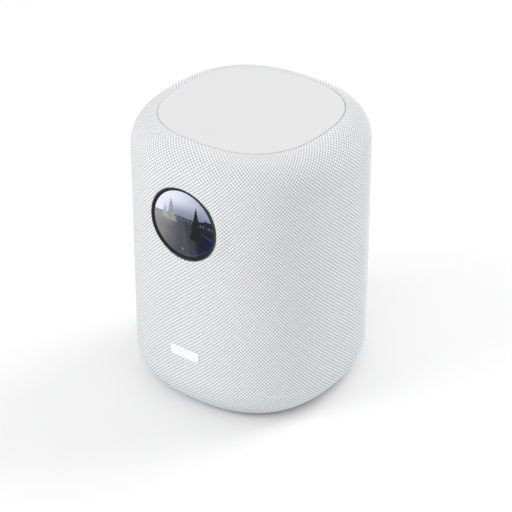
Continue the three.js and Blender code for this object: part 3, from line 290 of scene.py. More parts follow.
def lit_glass():
    """Cover glass over a lit picture: pale sky, dark ground, a fence, conifers, water and a play mark, with a
    painted reflection: a lighter veil over its left part.
    """
    tree = Tree("screen_glass_lit")
    x, _, z = tree.axes()
    z = z - DISPLAY_Z
    radius = tree.calc("SQRT", x * x + z * z)
    wisps = tree.noise(1.0, 4, 0.55, tree.stretched((0.05, 1, 0.16)))

    # Sky: brighter towards the upper left, with thin cloud; the brighter left is partly a painted reflection
    # veil.
    sky = tree.mix((z * 0.5 - x).spread(-14.0, 22.0), (0.33, 0.37, 0.50), (0.83, 0.87, 1.0))
    sky = tree.mix(wisps.spread(0.42, 0.7, 0.0, 0.25), sky, (0.70, 0.74, 0.88))
    # Painted reflection: the lower right of the sky is dimmed, outside the lighter veil.
    sky_outside_reflection = z.spread(17.0, 5.0) * x.spread(-19.0, -3.0)
    sky = tree.mix(sky_outside_reflection * 0.9, sky, (0.20, 0.22, 0.32))

    # Ground: dull grey, darker to the right, with water at the lower right; its lighter left part is a
    # painted reflection veil.
    ground = tree.mix(x.spread(-24.0, -1.0), (0.28, 0.28, 0.285), (0.082, 0.082, 0.098))
    # Painted reflection: a light veil over the upper left of the ground.
    reflection_veil = z.spread(-7.0, 4.0) * x.spread(-3.0, -13.0)
    ground = tree.mix(reflection_veil * 0.6, ground, (0.40, 0.385, 0.41))
    ground = tree.mix(z.spread(-8.0, -22.0) * 0.35, ground, (0.05, 0.05, 0.06))
    # Painted reflection: the veil's steep diagonal edge, with the ground darker beyond it.
    reflection_edge = z * 0.22 + x
    ground = tree.mix(reflection_edge.spread(-1.6, 1.8), ground, (0.046, 0.048, 0.066))
    ground = tree.mix(reflection_edge.spread(3.5, 9.0), ground, (0.012, 0.013, 0.019))
    ground = tree.mix(tree.noise(0.35, 3).spread(0.3, 0.7, 0.0, 0.10), ground, (0.035, 0.038, 0.048))
    to_shore = z - (x * -0.33 + 2.1)
    water = to_shore.spread(0.1, -0.2) * x.spread(9.0, 15.0)
    ground = tree.mix(water, ground, (0.007, 0.008, 0.034))
    line = abs(to_shore).spread(0.5, 0.15) * x.spread(12.5, 14.5)
    ground = tree.mix(line, ground, (0.055, 0.062, 0.17))

    # The hills' outline between them.
    hills = tree.noise(1.0, 3, 0.5, tree.stretched((0.16, 0, 0))) * 3.2
    skyline = hills + 3.2 + x.spread(8.0, 19.0, 0.0, 2.8)
    picture = tree.mix((z - skyline).spread(-0.25, 0.25), ground, sky)

    # Fence along the road under the hills: pale posts and a rail.
    post = abs(tree.calc("FRACT", x * 0.42) - 0.5).spread(0.16, 0.08) * abs(z - 2.9).spread(1.1, 0.8)
    rail = abs(z - 3.3).spread(0.35, 0.15)
    fence = tree.calc("MAXIMUM", post, rail * 0.5) * x.spread(-16.0, -9.0)
    picture = tree.mix(fence * 0.8, picture, (0.20, 0.21, 0.23))

    # Conifers: two hazy ones on the left, a dark one nearer on the right, and one far behind it.
    for centre, foot, top, width, teeth, colour in (
        (-9.6, -0.2, 17.0, 4.6, 0.42, (0.33, 0.325, 0.335)),
        (-14.6, 0.8, 11.0, 2.8, 0.5, (0.42, 0.41, 0.44)),
        (9.8, -9.5, 16.0, 6.4, 0.36, (0.010, 0.013, 0.013)),
        (17.4, 1.2, 10.0, 2.6, 0.5, (0.02, 0.025, 0.03)),
    ):
        saw = tree.calc("FRACT", z * teeth)
        reach = z.spread(foot, top, 1.0, 0.0, False) * (width - saw * (width * 0.3)) - 0.2
        leaf = (abs(x - centre) - reach).spread(0.2, -0.2) * z.spread(foot - 0.4, foot + 0.2)
        picture = tree.mix(leaf, picture, colour)

    # A plain play mark and a progress arc near the lower edge.
    mark_x = x + 1.9
    mark = (abs(z + 18.4) + mark_x * 0.62).spread(1.45, 1.15) * mark_x.spread(-0.2, 0.1)
    picture = tree.mix(mark * 0.55, picture, (0.30, 0.31, 0.36))
    arc = abs(radius - 21.9).spread(0.3, 0.12) * z.spread(-13.0, -15.0)
    picture = tree.mix(arc * 0.35, picture, (0.14, 0.15, 0.2))

    inside = radius.spread(PICTURE_RADIUS + 0.08, PICTURE_RADIUS - 0.08)
    return tree.finish(
        Base_Color=tree.mix(inside, (0.020, 0.0205, 0.023), (0.003, 0.003, 0.004)),
        Roughness=tree.noise(0.12, 4).spread(0.35, 0.75, 0.03, 0.06),
        IOR=1.15,
        Emission_Color=tree.mix(inside, (0.0, 0.0, 0.0), picture),
        Emission_Strength=1.0,
        Normal=tree.bump(tree.noise(0.05, 1), 0.01),
    )


def rubber_grey():
    """Moulded rubber with dust in its grain."""
    tree = Tree("foot_rubber_moulded")
    dust = tree.noise(0.15, 4).spread(0.4, 0.75)
    return tree.finish(
        Base_Color=tree.mix(dust, (0.38, 0.38, 0.39), (0.47, 0.47, 0.47)),
        Roughness=0.85,
        Normal=tree.bump(tree.noise(2.5, 4, 0.7), 0.03),
    )


def paper_pulp():
    """Pressed paper: dark pulp with fibres lying across each other."""
    tree = Tree("paper_cone_pulp")
    pulp = tree.noise(0.9, 5, 0.7)
    fibre = tree.noise(1.0, 4, 0.65, tree.stretched((2.6, 0.5, 2.6)))
    return tree.finish(
        Base_Color=tree.mix(pulp.spread(0.3, 0.7), (0.016, 0.016, 0.017), (0.045, 0.044, 0.043)),
        Roughness=fibre.spread(0.3, 0.7, 0.72, 0.9),
        Normal=tree.bump(pulp + fibre, 0.06),
    )


def coated_silk():
    """Doped silk: a fine square weave under a rubbery coat."""
    tree = Tree("silk_doped")
    x, y, z = tree.axes()
    weave = tree.calc("SINE", (x + y) * 12.0) * tree.calc("SINE", z * 16.0)
    patch = tree.noise(0.25, 3)
    colour = tree.mix(weave.spread(-1, 1), (0.014, 0.013, 0.014), (0.050, 0.047, 0.048))
    return tree.finish(
        Base_Color=tree.mix(patch.spread(0.35, 0.7, 0, 0.35), colour, (0.03, 0.026, 0.026)),
        Roughness=patch.spread(0.3, 0.7, 0.42, 0.62),
        Normal=tree.bump(weave, 0.03),
        Sheen_Weight=0.2,
    )


def sintered_ferrite():
    """Ground ceramic magnet: speckled, with the grinder's marks."""
    tree = Tree("ferrite_sintered")
    grain = tree.noise(3.5, 5, 0.75)
    ground = tree.noise(1.0, 3, 0.6, tree.stretched((0.3, 0.3, 5.0)))
    return tree.finish(
        Base_Color=tree.mix(grain.spread(0.3, 0.75), (0.028, 0.028, 0.030), (0.075, 0.075, 0.080)),
        Roughness=ground.spread(0.3, 0.7, 0.5, 0.75),
        Normal=tree.bump(grain, 0.02),
    )


def circuit_board():
    """Green solder mask over copper tracks, with a fine glass weave and tinned pads."""
    tree = Tree("board_green_mask")
    cells = tree.cells({"Scale": 0.16}, distance="CHEBYCHEV")
    track = abs(tree.calc("FRACT", cells * 5.0) - 0.5).spread(0.22, 0.12)
    pad = tree.cells({"Scale": 0.42, "Randomness": 0.7}).spread(0.17, 0.14)
    weave = tree.noise(3.0, 2)
    mask = tree.mix(track, (0.010, 0.085, 0.032), (0.018, 0.150, 0.055))
    mask = tree.mix(weave.spread(0.35, 0.7, 0, 0.25), mask, (0.012, 0.07, 0.03))
    return tree.finish(
        Base_Color=tree.mix(pad, mask, (0.62, 0.60, 0.56)),
        Metallic=pad * 0.9,
        Roughness=weave.spread(0.3, 0.7, 0.28, 0.4),
        Normal=tree.bump(track * 0.5 + pad, 0.03),
    )


def open_foam():
    """Open-cell foam: pores between paler walls, darkened in colour as painted shade."""
    tree = Tree("foam_open_cell")
    fine = tree.noise(3.0, 3, 0.7)
    pores = tree.cells({"Scale": 1.1}).spread(0.15, 0.6)
    # Painted shade: the pores are darkened in colour.
    colour = tree.mix(pores, (0.012, 0.012, 0.013), (0.075, 0.075, 0.078))
    return tree.finish(
        Base_Color=tree.mix(fine.spread(0.3, 0.7, 0, 0.3), colour, (0.04, 0.04, 0.042)),
        Roughness=fine.spread(0.3, 0.7, 0.88, 0.98),
        Normal=tree.bump(pores, 0.25),
        Specular_IOR_Level=0.2,
    )


def flat_cable():
    """Amber film with copper tracks running along it."""
    tree = Tree("polyimide_film")
    x, _, _ = tree.axes()
    track = tree.calc("COSINE", x * math.tau).spread(0.05, 0.35)
    cloud = tree.noise(0.2, 3)
    film = tree.mix(cloud.spread(0.3, 0.7), (0.30, 0.105, 0.012), (0.42, 0.16, 0.02))
    return tree.finish(
        Base_Color=tree.mix(track, film, (0.52, 0.20, 0.05)),
        Roughness=cloud.spread(0.3, 0.7, 0.22, 0.34),
        Normal=tree.bump(track, 0.02),
    )


MATERIALS = {
    "fabric_white": knitted_white(),
    "panel_white": plastic("panel_white_moulded", (0.662, 0.662, 0.666), 0.5, 0.002, 2.0, 0.012),
    "cage_grey": plastic("cage_grey_moulded", (0.58, 0.585, 0.59), 0.55, 0.01),
    "black_plastic": plastic("black_plastic_moulded", (0.020, 0.021, 0.023), 0.38, 0.004),
    "screen_glass": lit_glass(),
    "foot_rubber": rubber_grey(),
    "steel": metal("steel_plated", (0.56, 0.57, 0.58), 0.32),
    "copper": metal("copper_wire", (0.62, 0.32, 0.16), 0.35),
    "aluminium": metal("aluminium_extruded", (0.72, 0.73, 0.74), 0.38, (6.0, 0.15, 0.15)),
    "paper_cone": paper_pulp(),
    "silk": coated_silk(),
    "ferrite": sintered_ferrite(),
    "board_green": circuit_board(),
    "foam": open_foam(),
    "polyimide": flat_cable(),
}


# ------------------------------------------------------------ shapes
ROUNDNESS = 2.41  # exponent of the plan's superellipse
HALF = cad_high.x / MM
DEEPEST_INSET = 32  # further in, the plan is scaled instead of moved along its normal


def plan(angles, inset):
    """The plan's outline at these angles, moved inwards along its normal: an array of [x, y]."""
    c, s = np.cos(angles), np.sin(angles)
    radius = HALF * (np.abs(c) ** ROUNDNESS + np.abs(s) ** ROUNDNESS) ** (-1 / ROUNDNESS)
    points = np.stack([radius * c, radius * s], -1) - plan_normal(angles) * min(inset, DEEPEST_INSET)
    if inset > DEEPEST_INSET:
        points *= (HALF - inset) / (HALF - DEEPEST_INSET)
    return points


def plan_normal(angles):
    c, s = np.cos(angles), np.sin(angles)
    power = ROUNDNESS - 1
    normal = np.stack([np.sign(c) * np.abs(c) ** power, np.sign(s) * np.abs(s) ** power], -1)
    return normal / np.linalg.norm(normal, axis=-1, keepdims=True)


def plan_depth(x, inset):
    """How far from the axis the plan's front or back is, at an x and an inset."""
    reach = HALF - inset
    return reach * (1 - (np.abs(x) / reach) ** ROUNDNESS) ** (1 / ROUNDNESS)


class Shape:
    """Points, in millimetres, and faces gathered for one piece."""

    def __init__(self):
        self.points, self.faces = [], []

    def loop(self, points):
        start = len(self.points)
        self.points.extend(points)
        return list(range(start, len(self.points)))

    def skin(self, loops, closed=False):
        """Faces between rows of equal length, each row closed on itself."""
        rows = [self.loop(p) for p in loops]
        pairs = list(zip(rows, rows[1:])) + ([(rows[-1], rows[0])] if closed else [])
        for low, high in pairs:
            count = len(low)
            for i in range(count):
                j = (i + 1) % count
                self.faces.append((low[i], low[j], high[j], high[i]))
        return rows

    def cap(self, *rows):
        """A flat face over each row, as a fan from its middle."""
        for row in rows:
            centre = self.loop([tuple(np.mean([self.points[i] for i in row], axis=0))])[0]
            self.faces.extend((corner, row[(i + 1) % len(row)], centre) for i, corner in enumerate(row))

    def solid(self, loops):
        """A skin with a cap on its first row and on its last."""
        rows = self.skin(loops)
        self.cap(rows[0], rows[-1])

    def fill(self, *rows):
        """A flat face between an outer row and the rows round its holes."""
        order = [i for row in rows for i in row]
        loops = [[Vector(self.points[i]) for i in row] for row in rows]
        for triangle in geometry.tessellate_polygon(loops):
            self.faces.append(tuple(order[i] for i in triangle))

    def make(self, name, slot, stands_for=None, body="housing", crease=38):
        """The mesh piece, on its CAD body. A piece with no body is left unattached."""
        mesh = bpy.data.meshes.new(name)
        mesh.from_pydata([tuple(float(c) * MM for c in p) for p in self.points], [], self.faces)
        welded = bmesh.new()
        welded.from_mesh(mesh)
        bmesh.ops.remove_doubles(welded, verts=welded.verts, dist=1e-7)
        bmesh.ops.recalc_face_normals(welded, faces=welded.faces)
        welded.to_mesh(mesh)
        welded.free()
        mesh.shade_smooth()
        mesh.set_sharp_from_angle(angle=math.radians(crease))
        mesh.materials.append(MATERIALS[slot])
        made = add_to_scene(name, mesh)
        if body:
            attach(made, body)
        if stands_for:
            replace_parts(made, stands_for)
        return made


def plan_rows(profile, count=240):
    """Rows round the plan for a profile of [inset, height] pairs."""
    angles = np.arange(count) * math.tau / count
    return [[(x, y, z) for x, y in plan(angles, inset)] for inset, z in profile]


def rounded(width, height, corner, x=0.0, z=0.0, steps=6, along=12):
    """Points round a rounded rectangle in X and Z, always as many, so that two such rows can be joined."""
    w, h = width / 2 - corner, height / 2 - corner
    outline = []
    corners = [(w, -h, -90), (w, h, 0), (-w, h, 90), (-w, -h, 180)]

    def on_arc(corner_at, degrees):
        turn = math.radians(corner_at[2] + degrees)
        return x + corner_at[0] + corner * math.cos(turn), z + corner_at[1] + corner * math.sin(turn)

    for k, here in enumerate(corners):
        outline += [on_arc(here, 90 * i / steps) for i in range(steps + 1)]
        last, target = outline[-1], on_arc(corners[(k + 1) % 4], 0)
        for i in range(1, along):
            outline.append(tuple(a + (b - a) * i / along for a, b in zip(last, target)))
    return outline


def circle(radius, x=0.0, z=0.0, count=48):
    turns = [math.tau * i / count for i in range(count)]
    return [(x + radius * math.cos(t), z + radius * math.sin(t)) for t in turns]


def at_depth(outline, y):
    """An outline in X and Z as points at a Y, or at the Y that a function gives for each x."""
    return [(x, y(x) if callable(y) else y, z) for x, z in outline]


def level(outline, height):
    """An outline in X and Y as points at a height."""
    return [(x, y, height) for x, y in outline]


def round_rows(profile, x, z, count=48):
    """Circles about a line along Y through x and z, for a profile of [radius, y] pairs."""
    return [at_depth(circle(radius, x, z, count), y) for radius, y in profile]


def corner_arc(start, end, steps=4):
    """Quarter-round profile points from start to end, leaving start along the second axis."""
    (a, b), (c, d) = start, end
    turns = [math.pi / 2 * i / steps for i in range(steps + 1)]
    return [(a + (c - a) * (1 - math.cos(t)), b + (d - b) * math.sin(t)) for t in turns]


# ------------------------------------------------------------ knitted sleeve
sleeve_low, sleeve_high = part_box("fabric_sleeve")
FABRIC_FLOOR, FABRIC_TOP = sleeve_low.z / MM, sleeve_high.z / MM
SHOULDER_INSET, SHOULDER_DROP = 17.5, 21.5
SKIRT_INSET, SKIRT_RISE = 20.5, 24.5
SHOULDER_Z = FABRIC_TOP - SHOULDER_DROP
FABRIC_TUCK = 19.5
UNDER_STEPS, CURVE_STEPS = 30, 200  # points of the fine profile under the body, and along each other part
STITCHES_ROUND = 184
STITCH_HEIGHT = 2.62
STITCHES_PER_MM = 0.3226
CORNER_TIGHTNESS = 0.1048  # how many more stitches there are per millimetre round the corners
RELIEF = 0.16  # how far stitches stand out, and holes sink
LENS_GAP, SOCKET_GAP = 1.2, 0.3  # from the edge of the fabric's holes to what they go round
BEZEL_FACE, BEZEL_REACH = 71.7, 9.0  # how far forward the fabric lies at the screen, and how far round it
FINE_ANGLES = 14401
SEARCH_TURN, SEARCH_STEPS = 1.2, 4001  # how far from the middle, and how finely, a hole's edge is looked up
HOLE_FADE, END_FADE = 2.4, 1.2  # over how much fabric the relief fades out beside a hole, and at a cut end
LIP = 0.35  # a hole's edge first sinks by this much, then by the full depth of its side
TURN_IN = ((-1, 2.2), (1, 4.0))  # that depth in front, round the screen, and behind, round the sockets


def stitch_columns():
    """Fine angles and the stitches counted up to each. The knit is pulled tighter round the corners."""
    fine = np.linspace(0, math.tau, FINE_ANGLES)
    steps = np.linalg.norm(np.diff(plan(fine, 0), axis=0), axis=1)
    middles = (fine[1:] + fine[:-1]) / 2
    density = STITCHES_PER_MM + CORNER_TIGHTNESS * np.sin(2 * middles) ** 2
    counted = np.concatenate([[0], np.cumsum(steps * density)])
    counted *= STITCHES_ROUND / counted[-1]
    return fine, counted


def elliptic_rows(turns, inset, rise, base, way):
    """Profile rows round a quarter ellipse that leaves the side at the height base, up or down."""
    rows = []
    for turn in turns:
        out, along = math.cos(turn) / inset, math.sin(turn) / rise
        size = math.hypot(out, along)
        height = base + way * rise * math.sin(turn)
        rows.append((inset * (1 - math.cos(turn)), height, out / size, way * along / size))
    return rows


def sleeve_profile():
    """Rows of inset, height and the normal's outward and upward parts, from the tuck to the top edge."""
    lowest = math.asin((SKIRT_RISE - FABRIC_FLOOR) / SKIRT_RISE)
    under_start = SKIRT_INSET - SKIRT_INSET * math.cos(lowest)
    under = np.linspace(FABRIC_TUCK, under_start, UNDER_STEPS)[:-1]
    side = np.linspace(SKIRT_RISE, SHOULDER_Z, CURVE_STEPS)[1:-1]
    quarter = np.linspace(0, math.pi / 2, CURVE_STEPS)
    return np.array(
        [(inset, FABRIC_FLOOR, 0.0, -1.0) for inset in under]
        + elliptic_rows(np.linspace(lowest, 0, CURVE_STEPS), SKIRT_INSET, SKIRT_RISE, SKIRT_RISE, -1)
        + [(0.0, z, 1.0, 0.0) for z in side]
        + elliptic_rows(quarter, SHOULDER_INSET, SHOULDER_DROP, SHOULDER_Z, 1)
    )


SOCKET_LOW, SOCKET_HIGH = box("socket_panel")
SOCKET_Z = (SOCKET_LOW.z + SOCKET_HIGH.z) / 2
SOCKET_WIDTH, SOCKET_HEIGHT = SOCKET_HIGH.x - SOCKET_LOW.x, SOCKET_HIGH.z - SOCKET_LOW.z
SOCKET_CORNER = 6.0


def circle_edge(x, z):
    """Signed distance to the screen's hole, and the nearest point on its edge."""
    away = np.hypot(x, z - DISPLAY_Z)
    hole = LENS_RADIUS + LENS_GAP
    scale = hole / np.maximum(away, 1e-6)
    return away - hole, x * scale, DISPLAY_Z + (z - DISPLAY_Z) * scale


def socket_edge(x, z):
    """Signed distance to the socket panel's hole, and the nearest point on its edge."""
    corner = SOCKET_CORNER + SOCKET_GAP
    flat_x = SOCKET_WIDTH / 2 + SOCKET_GAP - corner
    flat_z = SOCKET_HEIGHT / 2 + SOCKET_GAP - corner
    core_x, core_z = np.clip(x, -flat_x, flat_x), np.clip(z - SOCKET_Z, -flat_z, flat_z)
    way_x, way_z = x - core_x, z - SOCKET_Z - core_z
    away = np.hypot(way_x, way_z)
    inside_core = away < 1e-9
    scale = corner / np.maximum(away, 1e-6)
    edge_x = np.where(inside_core, x, core_x + way_x * scale)
    edge_z = np.where(inside_core, z, SOCKET_Z + core_z + way_z * scale)
    return np.where(inside_core, -corner, away - corner), edge_x, edge_z


def make_sleeve():
    fine, counted = stitch_columns()
    columns = STITCHES_ROUND * 2
    stitch_u = np.arange(columns) / 2
    angles = np.interp(stitch_u, counted, fine)

    profile = sleeve_profile()
    lengths = np.concatenate([[0], np.cumsum(np.hypot(*np.diff(profile[:, :2], axis=0).T))])
    length = lengths[-1]
    stitch_v = np.arange(int(length / (STITCH_HEIGHT / 2)) + 1) / 2
    at = stitch_v * STITCH_HEIGHT
    inset, z, out, rise = (np.interp(at, lengths, profile[:, i]) for i in range(4))
    at[-1], stitch_v[-1] = length, length / STITCH_HEIGHT
    inset[-1], z[-1], out[-1], rise[-1] = profile[-1]

    normals = plan_normal(angles)
    flat = np.array([plan(angles, i) for i in inset])
    x, y = flat[..., 0], flat[..., 1]
    z = np.repeat(z[:, None], columns, 1)
    u = np.repeat(stitch_u[None, :], len(at), 0)
    v = np.repeat(stitch_v[:, None], columns, 1)

    # Holes: points just inside an edge move onto it, and faces wholly inside go.
    gone = np.zeros_like(x, bool)
    clear = np.ones_like(x)
    rising = slice(UNDER_STEPS, -CURVE_STEPS - 1)
    for facing, edge in ((-1, circle_edge), (1, socket_edge)):
        distance, edge_x, edge_z = edge(x, z)
        distance = np.where(y * facing > 0, distance, 99.0)
        inside = distance < 0
        near = np.zeros_like(inside)
        for dk in (-1, 0, 1):
            for dj in (-1, 0, 1):
                near |= ~np.roll(np.roll(inside, dk, 0), dj, 1)
        rim = inside & near
        middle = math.pi / 2 * facing
        half_turn = np.linspace(middle - SEARCH_TURN, middle + SEARCH_TURN, SEARCH_STEPS)
        line = plan(half_turn, 0)
        order = np.argsort(line[:, 0])
        new_angle = np.interp(edge_x, line[order, 0], half_turn[order]) % math.tau
        moved = plan(new_angle[rim], 0)
        x[rim], y[rim] = moved[:, 0], moved[:, 1]
        z[rim] = edge_z[rim]
        u[rim] = np.interp(new_angle[rim], fine, counted)
        v[rim] = np.interp(z[rim], profile[rising, 1], lengths[rising]) / STITCH_HEIGHT
        gone |= inside
        clear = np.minimum(clear, np.clip(distance / HOLE_FADE - 0.15, 0, 1))
    ends = np.minimum(at, length - at)
    clear = np.minimum(clear, np.clip(ends / END_FADE, 0, 1)[:, None])

    # The fabric is drawn over the flat bezel's edge, where the body's curve falls away behind it.
    distance = np.clip(circle_edge(x, z)[0] / BEZEL_REACH, 0, 1)
    hold = np.where(y < 0, 1 - distance * distance * (3 - 2 * distance), 0)
    y = y - hold * np.clip(BEZEL_FACE + y, 0, None)

    parity = (np.arange(len(at))[:, None] + np.arange(columns)[None, :]) % 2
    lift = RELIEF * (1 - 2 * parity) * clear
    x = x + normals[None, :, 0] * out[:, None] * lift
    y = y + normals[None, :, 1] * out[:, None] * lift
    z = z + rise[:, None] * lift

    points = np.stack([x, y, z], -1).reshape(-1, 3).tolist()
    faces, maps = [], []
    for k in range(len(at) - 1):
        for j in range(columns):
            cells = [(k, j), (k, j + 1), (k + 1, j + 1), (k + 1, j)]
            if all(gone[a, b % columns] for a, b in cells):
                continue
            faces.append(tuple(a * columns + b % columns for a, b in cells))
            for a, b in cells:
                maps.append((u[a, b % columns] + (STITCHES_ROUND if b >= columns else 0), v[a, b % columns]))

    # The cut ends turn in: down beside the touch panel and up beside the base plate.
    for row, turns in (
        (len(at) - 1, [(SHOULDER_INSET + 0.1, FABRIC_TOP - 0.3), (SHOULDER_INSET + 0.12, FABRIC_TOP - 2.0)]),
        (0, [(FABRIC_TUCK + 0.1, FABRIC_FLOOR + 0.2), (FABRIC_TUCK + 0.12, FABRIC_FLOOR + 1.0)]),
    ):
        before = [row * columns + j for j in range(columns)]
        for step, (depth, height) in enumerate(turns, 1):
            after = [len(points) + j for j in range(columns)]
            points.extend(level(plan(angles, depth), height))
            for j in range(columns):
                following = (j + 1) % columns
                ring = (before[j], before[following], after[following], after[j])
                v_here, v_next = stitch_v[row] + 0.1 * (step - 1), stitch_v[row] + 0.1 * step
                place = [(j / 2, v_here), (j / 2 + 0.5, v_here), (j / 2 + 0.5, v_next), (j / 2, v_next)]
                faces.append(ring if row else ring[::-1])
                maps.extend(place if row else place[::-1])
            before = after

    mesh = bpy.data.meshes.new("fabric_sleeve_knit")
    mesh.from_pydata([tuple(c * MM for c in p) for p in points], [], faces)
    layer = mesh.uv_layers.new(name="stitches")
    layer.data.foreach_set("uv", np.array(maps, np.float32).ravel())

    # The knit turns in round the screen and the sockets too.
    shape = bmesh.new()
    shape.from_mesh(mesh)
    bmesh.ops.delete(shape, geom=[p for p in shape.verts if not p.link_faces], context="VERTS")
    for facing, depth in TURN_IN:
        edges = [
            e for e in shape.edges
            if e.is_boundary and all(p.co.y * facing > 0.05 and 0.02 < p.co.z < 0.17 for p in e.verts)
        ]
        for sink in (LIP, depth):
            made = bmesh.ops.extrude_edge_only(shape, edges=edges)["geom"]
            for point in (g for g in made if isinstance(g, bmesh.types.BMVert)):
                point.co.y -= facing * sink * MM
            edges = [g for g in made if isinstance(g, bmesh.types.BMEdge) and g.is_boundary]
    shape.to_mesh(mesh)
    shape.free()
    mesh.shade_smooth()
    mesh.materials.append(MATERIALS["fabric_white"])
    sleeve = add_to_scene("fabric_sleeve_knit", mesh)
    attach(sleeve, "housing")
    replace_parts(sleeve, "fabric_sleeve")
    around = float(np.linalg.norm(np.diff(plan(fine, 0), axis=0), axis=1).sum()) * MM
    flat = (around, float(length) * MM)


make_sleeve()

# ------------------------------------------------------------ top panel
PANEL_INSET = SHOULDER_INSET + 0.2


def make_top_panel():
    low, high = box("top_panel")
    top, bottom = high.z, low.z
    edge = corner_arc((PANEL_INSET, top - 0.75), (PANEL_INSET + 0.75, top), 6)
    under = [(PANEL_INSET + 0.8, bottom), (PANEL_INSET + 0.2, bottom), (PANEL_INSET, bottom + 0.2)]
    shape = Shape()
    rows = shape.skin(plan_rows([*under, *edge]))
    inner = shape.skin(plan_rows([(PANEL_INSET + 0.75, top), (PANEL_INSET + 1.4, top), (30, top)]))
    shape.cap(inner[-1], rows[0])
    shape.make("top_panel_plate", "panel_white", "top_panel")


make_top_panel()


# ------------------------------------------------------------ round screen
def make_screen():
    lens, front, rear, picture = LENS_RADIUS, DISPLAY_FACE, DISPLAY_REAR, PICTURE_RADIUS
    floor = front + PICTURE_DEPTH
    profile = [
        (lens - 0.8, rear), (lens - 0.15, rear), (lens, rear - 0.15),
        *corner_arc((lens, front + 0.35), (lens - 0.35, front), 5),
        (picture + 0.2, front), (picture + 0.12, front + 0.06), (picture + 0.1, floor),
        (picture - 0.8, floor), (8, floor),
    ]
    glass = Shape()
    glass.solid(round_rows(profile, 0.0, DISPLAY_Z, 144))
    glass.make("screen_cover_glass", "screen_glass", "screen_lens")

    low, high = box("screen_trim_ring")
    outer, inner, face, foot = high.x, lens + 0.1, low.y, high.y
    profile = [
        (inner, foot), (outer, foot),
        *corner_arc((outer, face + 0.4), (outer - 0.32, face), 4),
        *reversed(corner_arc((inner, face + 0.35), (inner + 0.25, face), 4)),
    ]
    ring = Shape()
    ring.skin(round_rows(profile, 0.0, DISPLAY_Z, 144), closed=True)
    ring.make("screen_trim_ring_turned", "black_plastic", "screen_trim_ring")


make_screen()


# ------------------------------------------------------------ badge
BADGE_THICK, BADGE_CORNER = 0.8, 1.6


def make_badge():
    low, high = box("name_badge")
    width, height, z = high.x - low.x, high.z - low.z, (low.z + high.z) / 2

    def row(outline, rise):
        return at_depth(outline, lambda x: -plan_depth(x, 0) - rise)

    thick = BADGE_THICK
    loops = []
    for shrink, rise in ((0.0, 0.05), (0.0, thick - 0.3), (0.09, thick - 0.09), (0.3, thick), (0.7, thick)):
        corner = BADGE_CORNER - shrink
        loops.append(row(rounded(width - 2 * shrink, height - 2 * shrink, corner, 0, z), rise))
    loops.append(row(rounded(width - height, 0.6, 0.29, 0, z), thick))
    shape = Shape()
    rows = shape.skin(loops)
    shape.cap(rows[-1], rows[0])
    badge = shape.make("name_badge_bar", "panel_white", "name_badge")
    badge.data.materials[0] = plastic("panel_white_painted", (0.86, 0.86, 0.865), 0.35, 0.002, 2.0, 0.012)


make_badge()


# ------------------------------------------------------------ base
BASE_LOW, BASE_HIGH = box("base_plate")
FOOT_TOP = box("foot_ring")[1].z
FOOT_INSET, FOOT_WIDTH = 23, 8
SCREWS = [f"base_screw_{i}" for i in (1, 2, 3, 4)]


def make_base():
    under, top = BASE_LOW.z, BASE_HIGH.z
    lip, core = FABRIC_TUCK + 0.3, 21.3
    groove, groove_end = FOOT_INSET - 0.3, FOOT_INSET + FOOT_WIDTH + 0.3
    groove_top = FOOT_TOP + 0.3
    profile = [
        (core, top), (core, under + 1.3), (lip, under + 1.3), (lip, under + 0.3), (lip + 0.1, under + 0.1),
        (lip + 0.3, under), (groove - 0.3, under), (groove - 0.08, under + 0.08), (groove, under + 0.3),
        (groove, groove_top), (groove_end, groove_top), (groove_end, under + 0.3),
        (groove_end + 0.08, under + 0.08), (groove_end + 0.3, under), (groove_end + 0.6, under),
    ]
    bore = [
        (3.6, under), (3.43, under + 0.06), (3.4, under + 0.2),
        (3.4, under + 2), (1.8, under + 2), (1.8, top),
    ]
    shape = Shape()
    rows = shape.skin(plan_rows(profile, 160))
    holes = []
    for name in SCREWS:
        low, high = box(name)
        x, y = (low.x + high.x) / 2, (low.y + high.y) / 2
        holes.append(shape.skin([level(circle(radius, x, y, 32), z) for radius, z in bore]))
    shape.fill(rows[-1], *(hole[0] for hole in holes))
    shape.fill(rows[0], *(hole[-1] for hole in holes))
    shape.make("base_plate_moulded", "cage_grey", "base_plate")


def make_foot():
    """A ring with three ribs on its sole."""
    inner, outer, top = FOOT_INSET + FOOT_WIDTH, FOOT_INSET, FOOT_TOP
    ribs = []
    for middle in (outer + 2.0, outer + 4.0, outer + 6.0):
        ribs += [(middle - 0.5, 0.0), (middle - 0.25, 0.3), (middle + 0.25, 0.3), (middle + 0.5, 0.0)]
    profile = [
        (outer, top), (outer, 0.6), (outer + 0.12, 0.2), (outer + 0.5, 0.0), *ribs,
        (inner - 0.5, 0.0), (inner - 0.12, 0.2), (inner, 0.6), (inner, top),
    ]
    foot = Shape()
    foot.skin(plan_rows(profile, 200), closed=True)
    foot.make("foot_ring_ribbed", "foot_rubber", "foot_ring")


def make_screw(name):
    """A pan-head screw with a cross recess in its lower end and rings for its thread."""
    low, high = box(name)
    x, y = (low.x + high.x) / 2, (low.y + high.y) / 2
    head, seat, tip = low.z, low.z + 1.3, high.z
    count = 48

    def cross(reach, waist, z):
        points = []
        for c, s in circle(1, 0, 0, count):
            arm = min(reach, waist / max(min(abs(c), abs(s)), 1e-6))
            points.append((x + arm * c, y + arm * s, z))
        return points

    loops = [cross(1.1, 0.22, head + 0.95), cross(1.75, 0.36, head + 0.05), cross(1.85, 0.42, head)]
    steps = [(2.5, head), (2.85, head + 0.12), (3.0, head + 0.4), (3.0, seat), (1.45, seat)]
    z = seat + 0.2
    while z < tip - 0.8:
        steps += [(1.2, z), (1.4, z + 0.3)]
        z += 0.6
    steps += [(1.0, tip - 0.4), (0.4, tip)]
    shape = Shape()
    shape.solid(loops + [level(circle(radius, x, y, count), z) for radius, z in steps])
    shape.make(f"{name}_threaded", "steel", name)


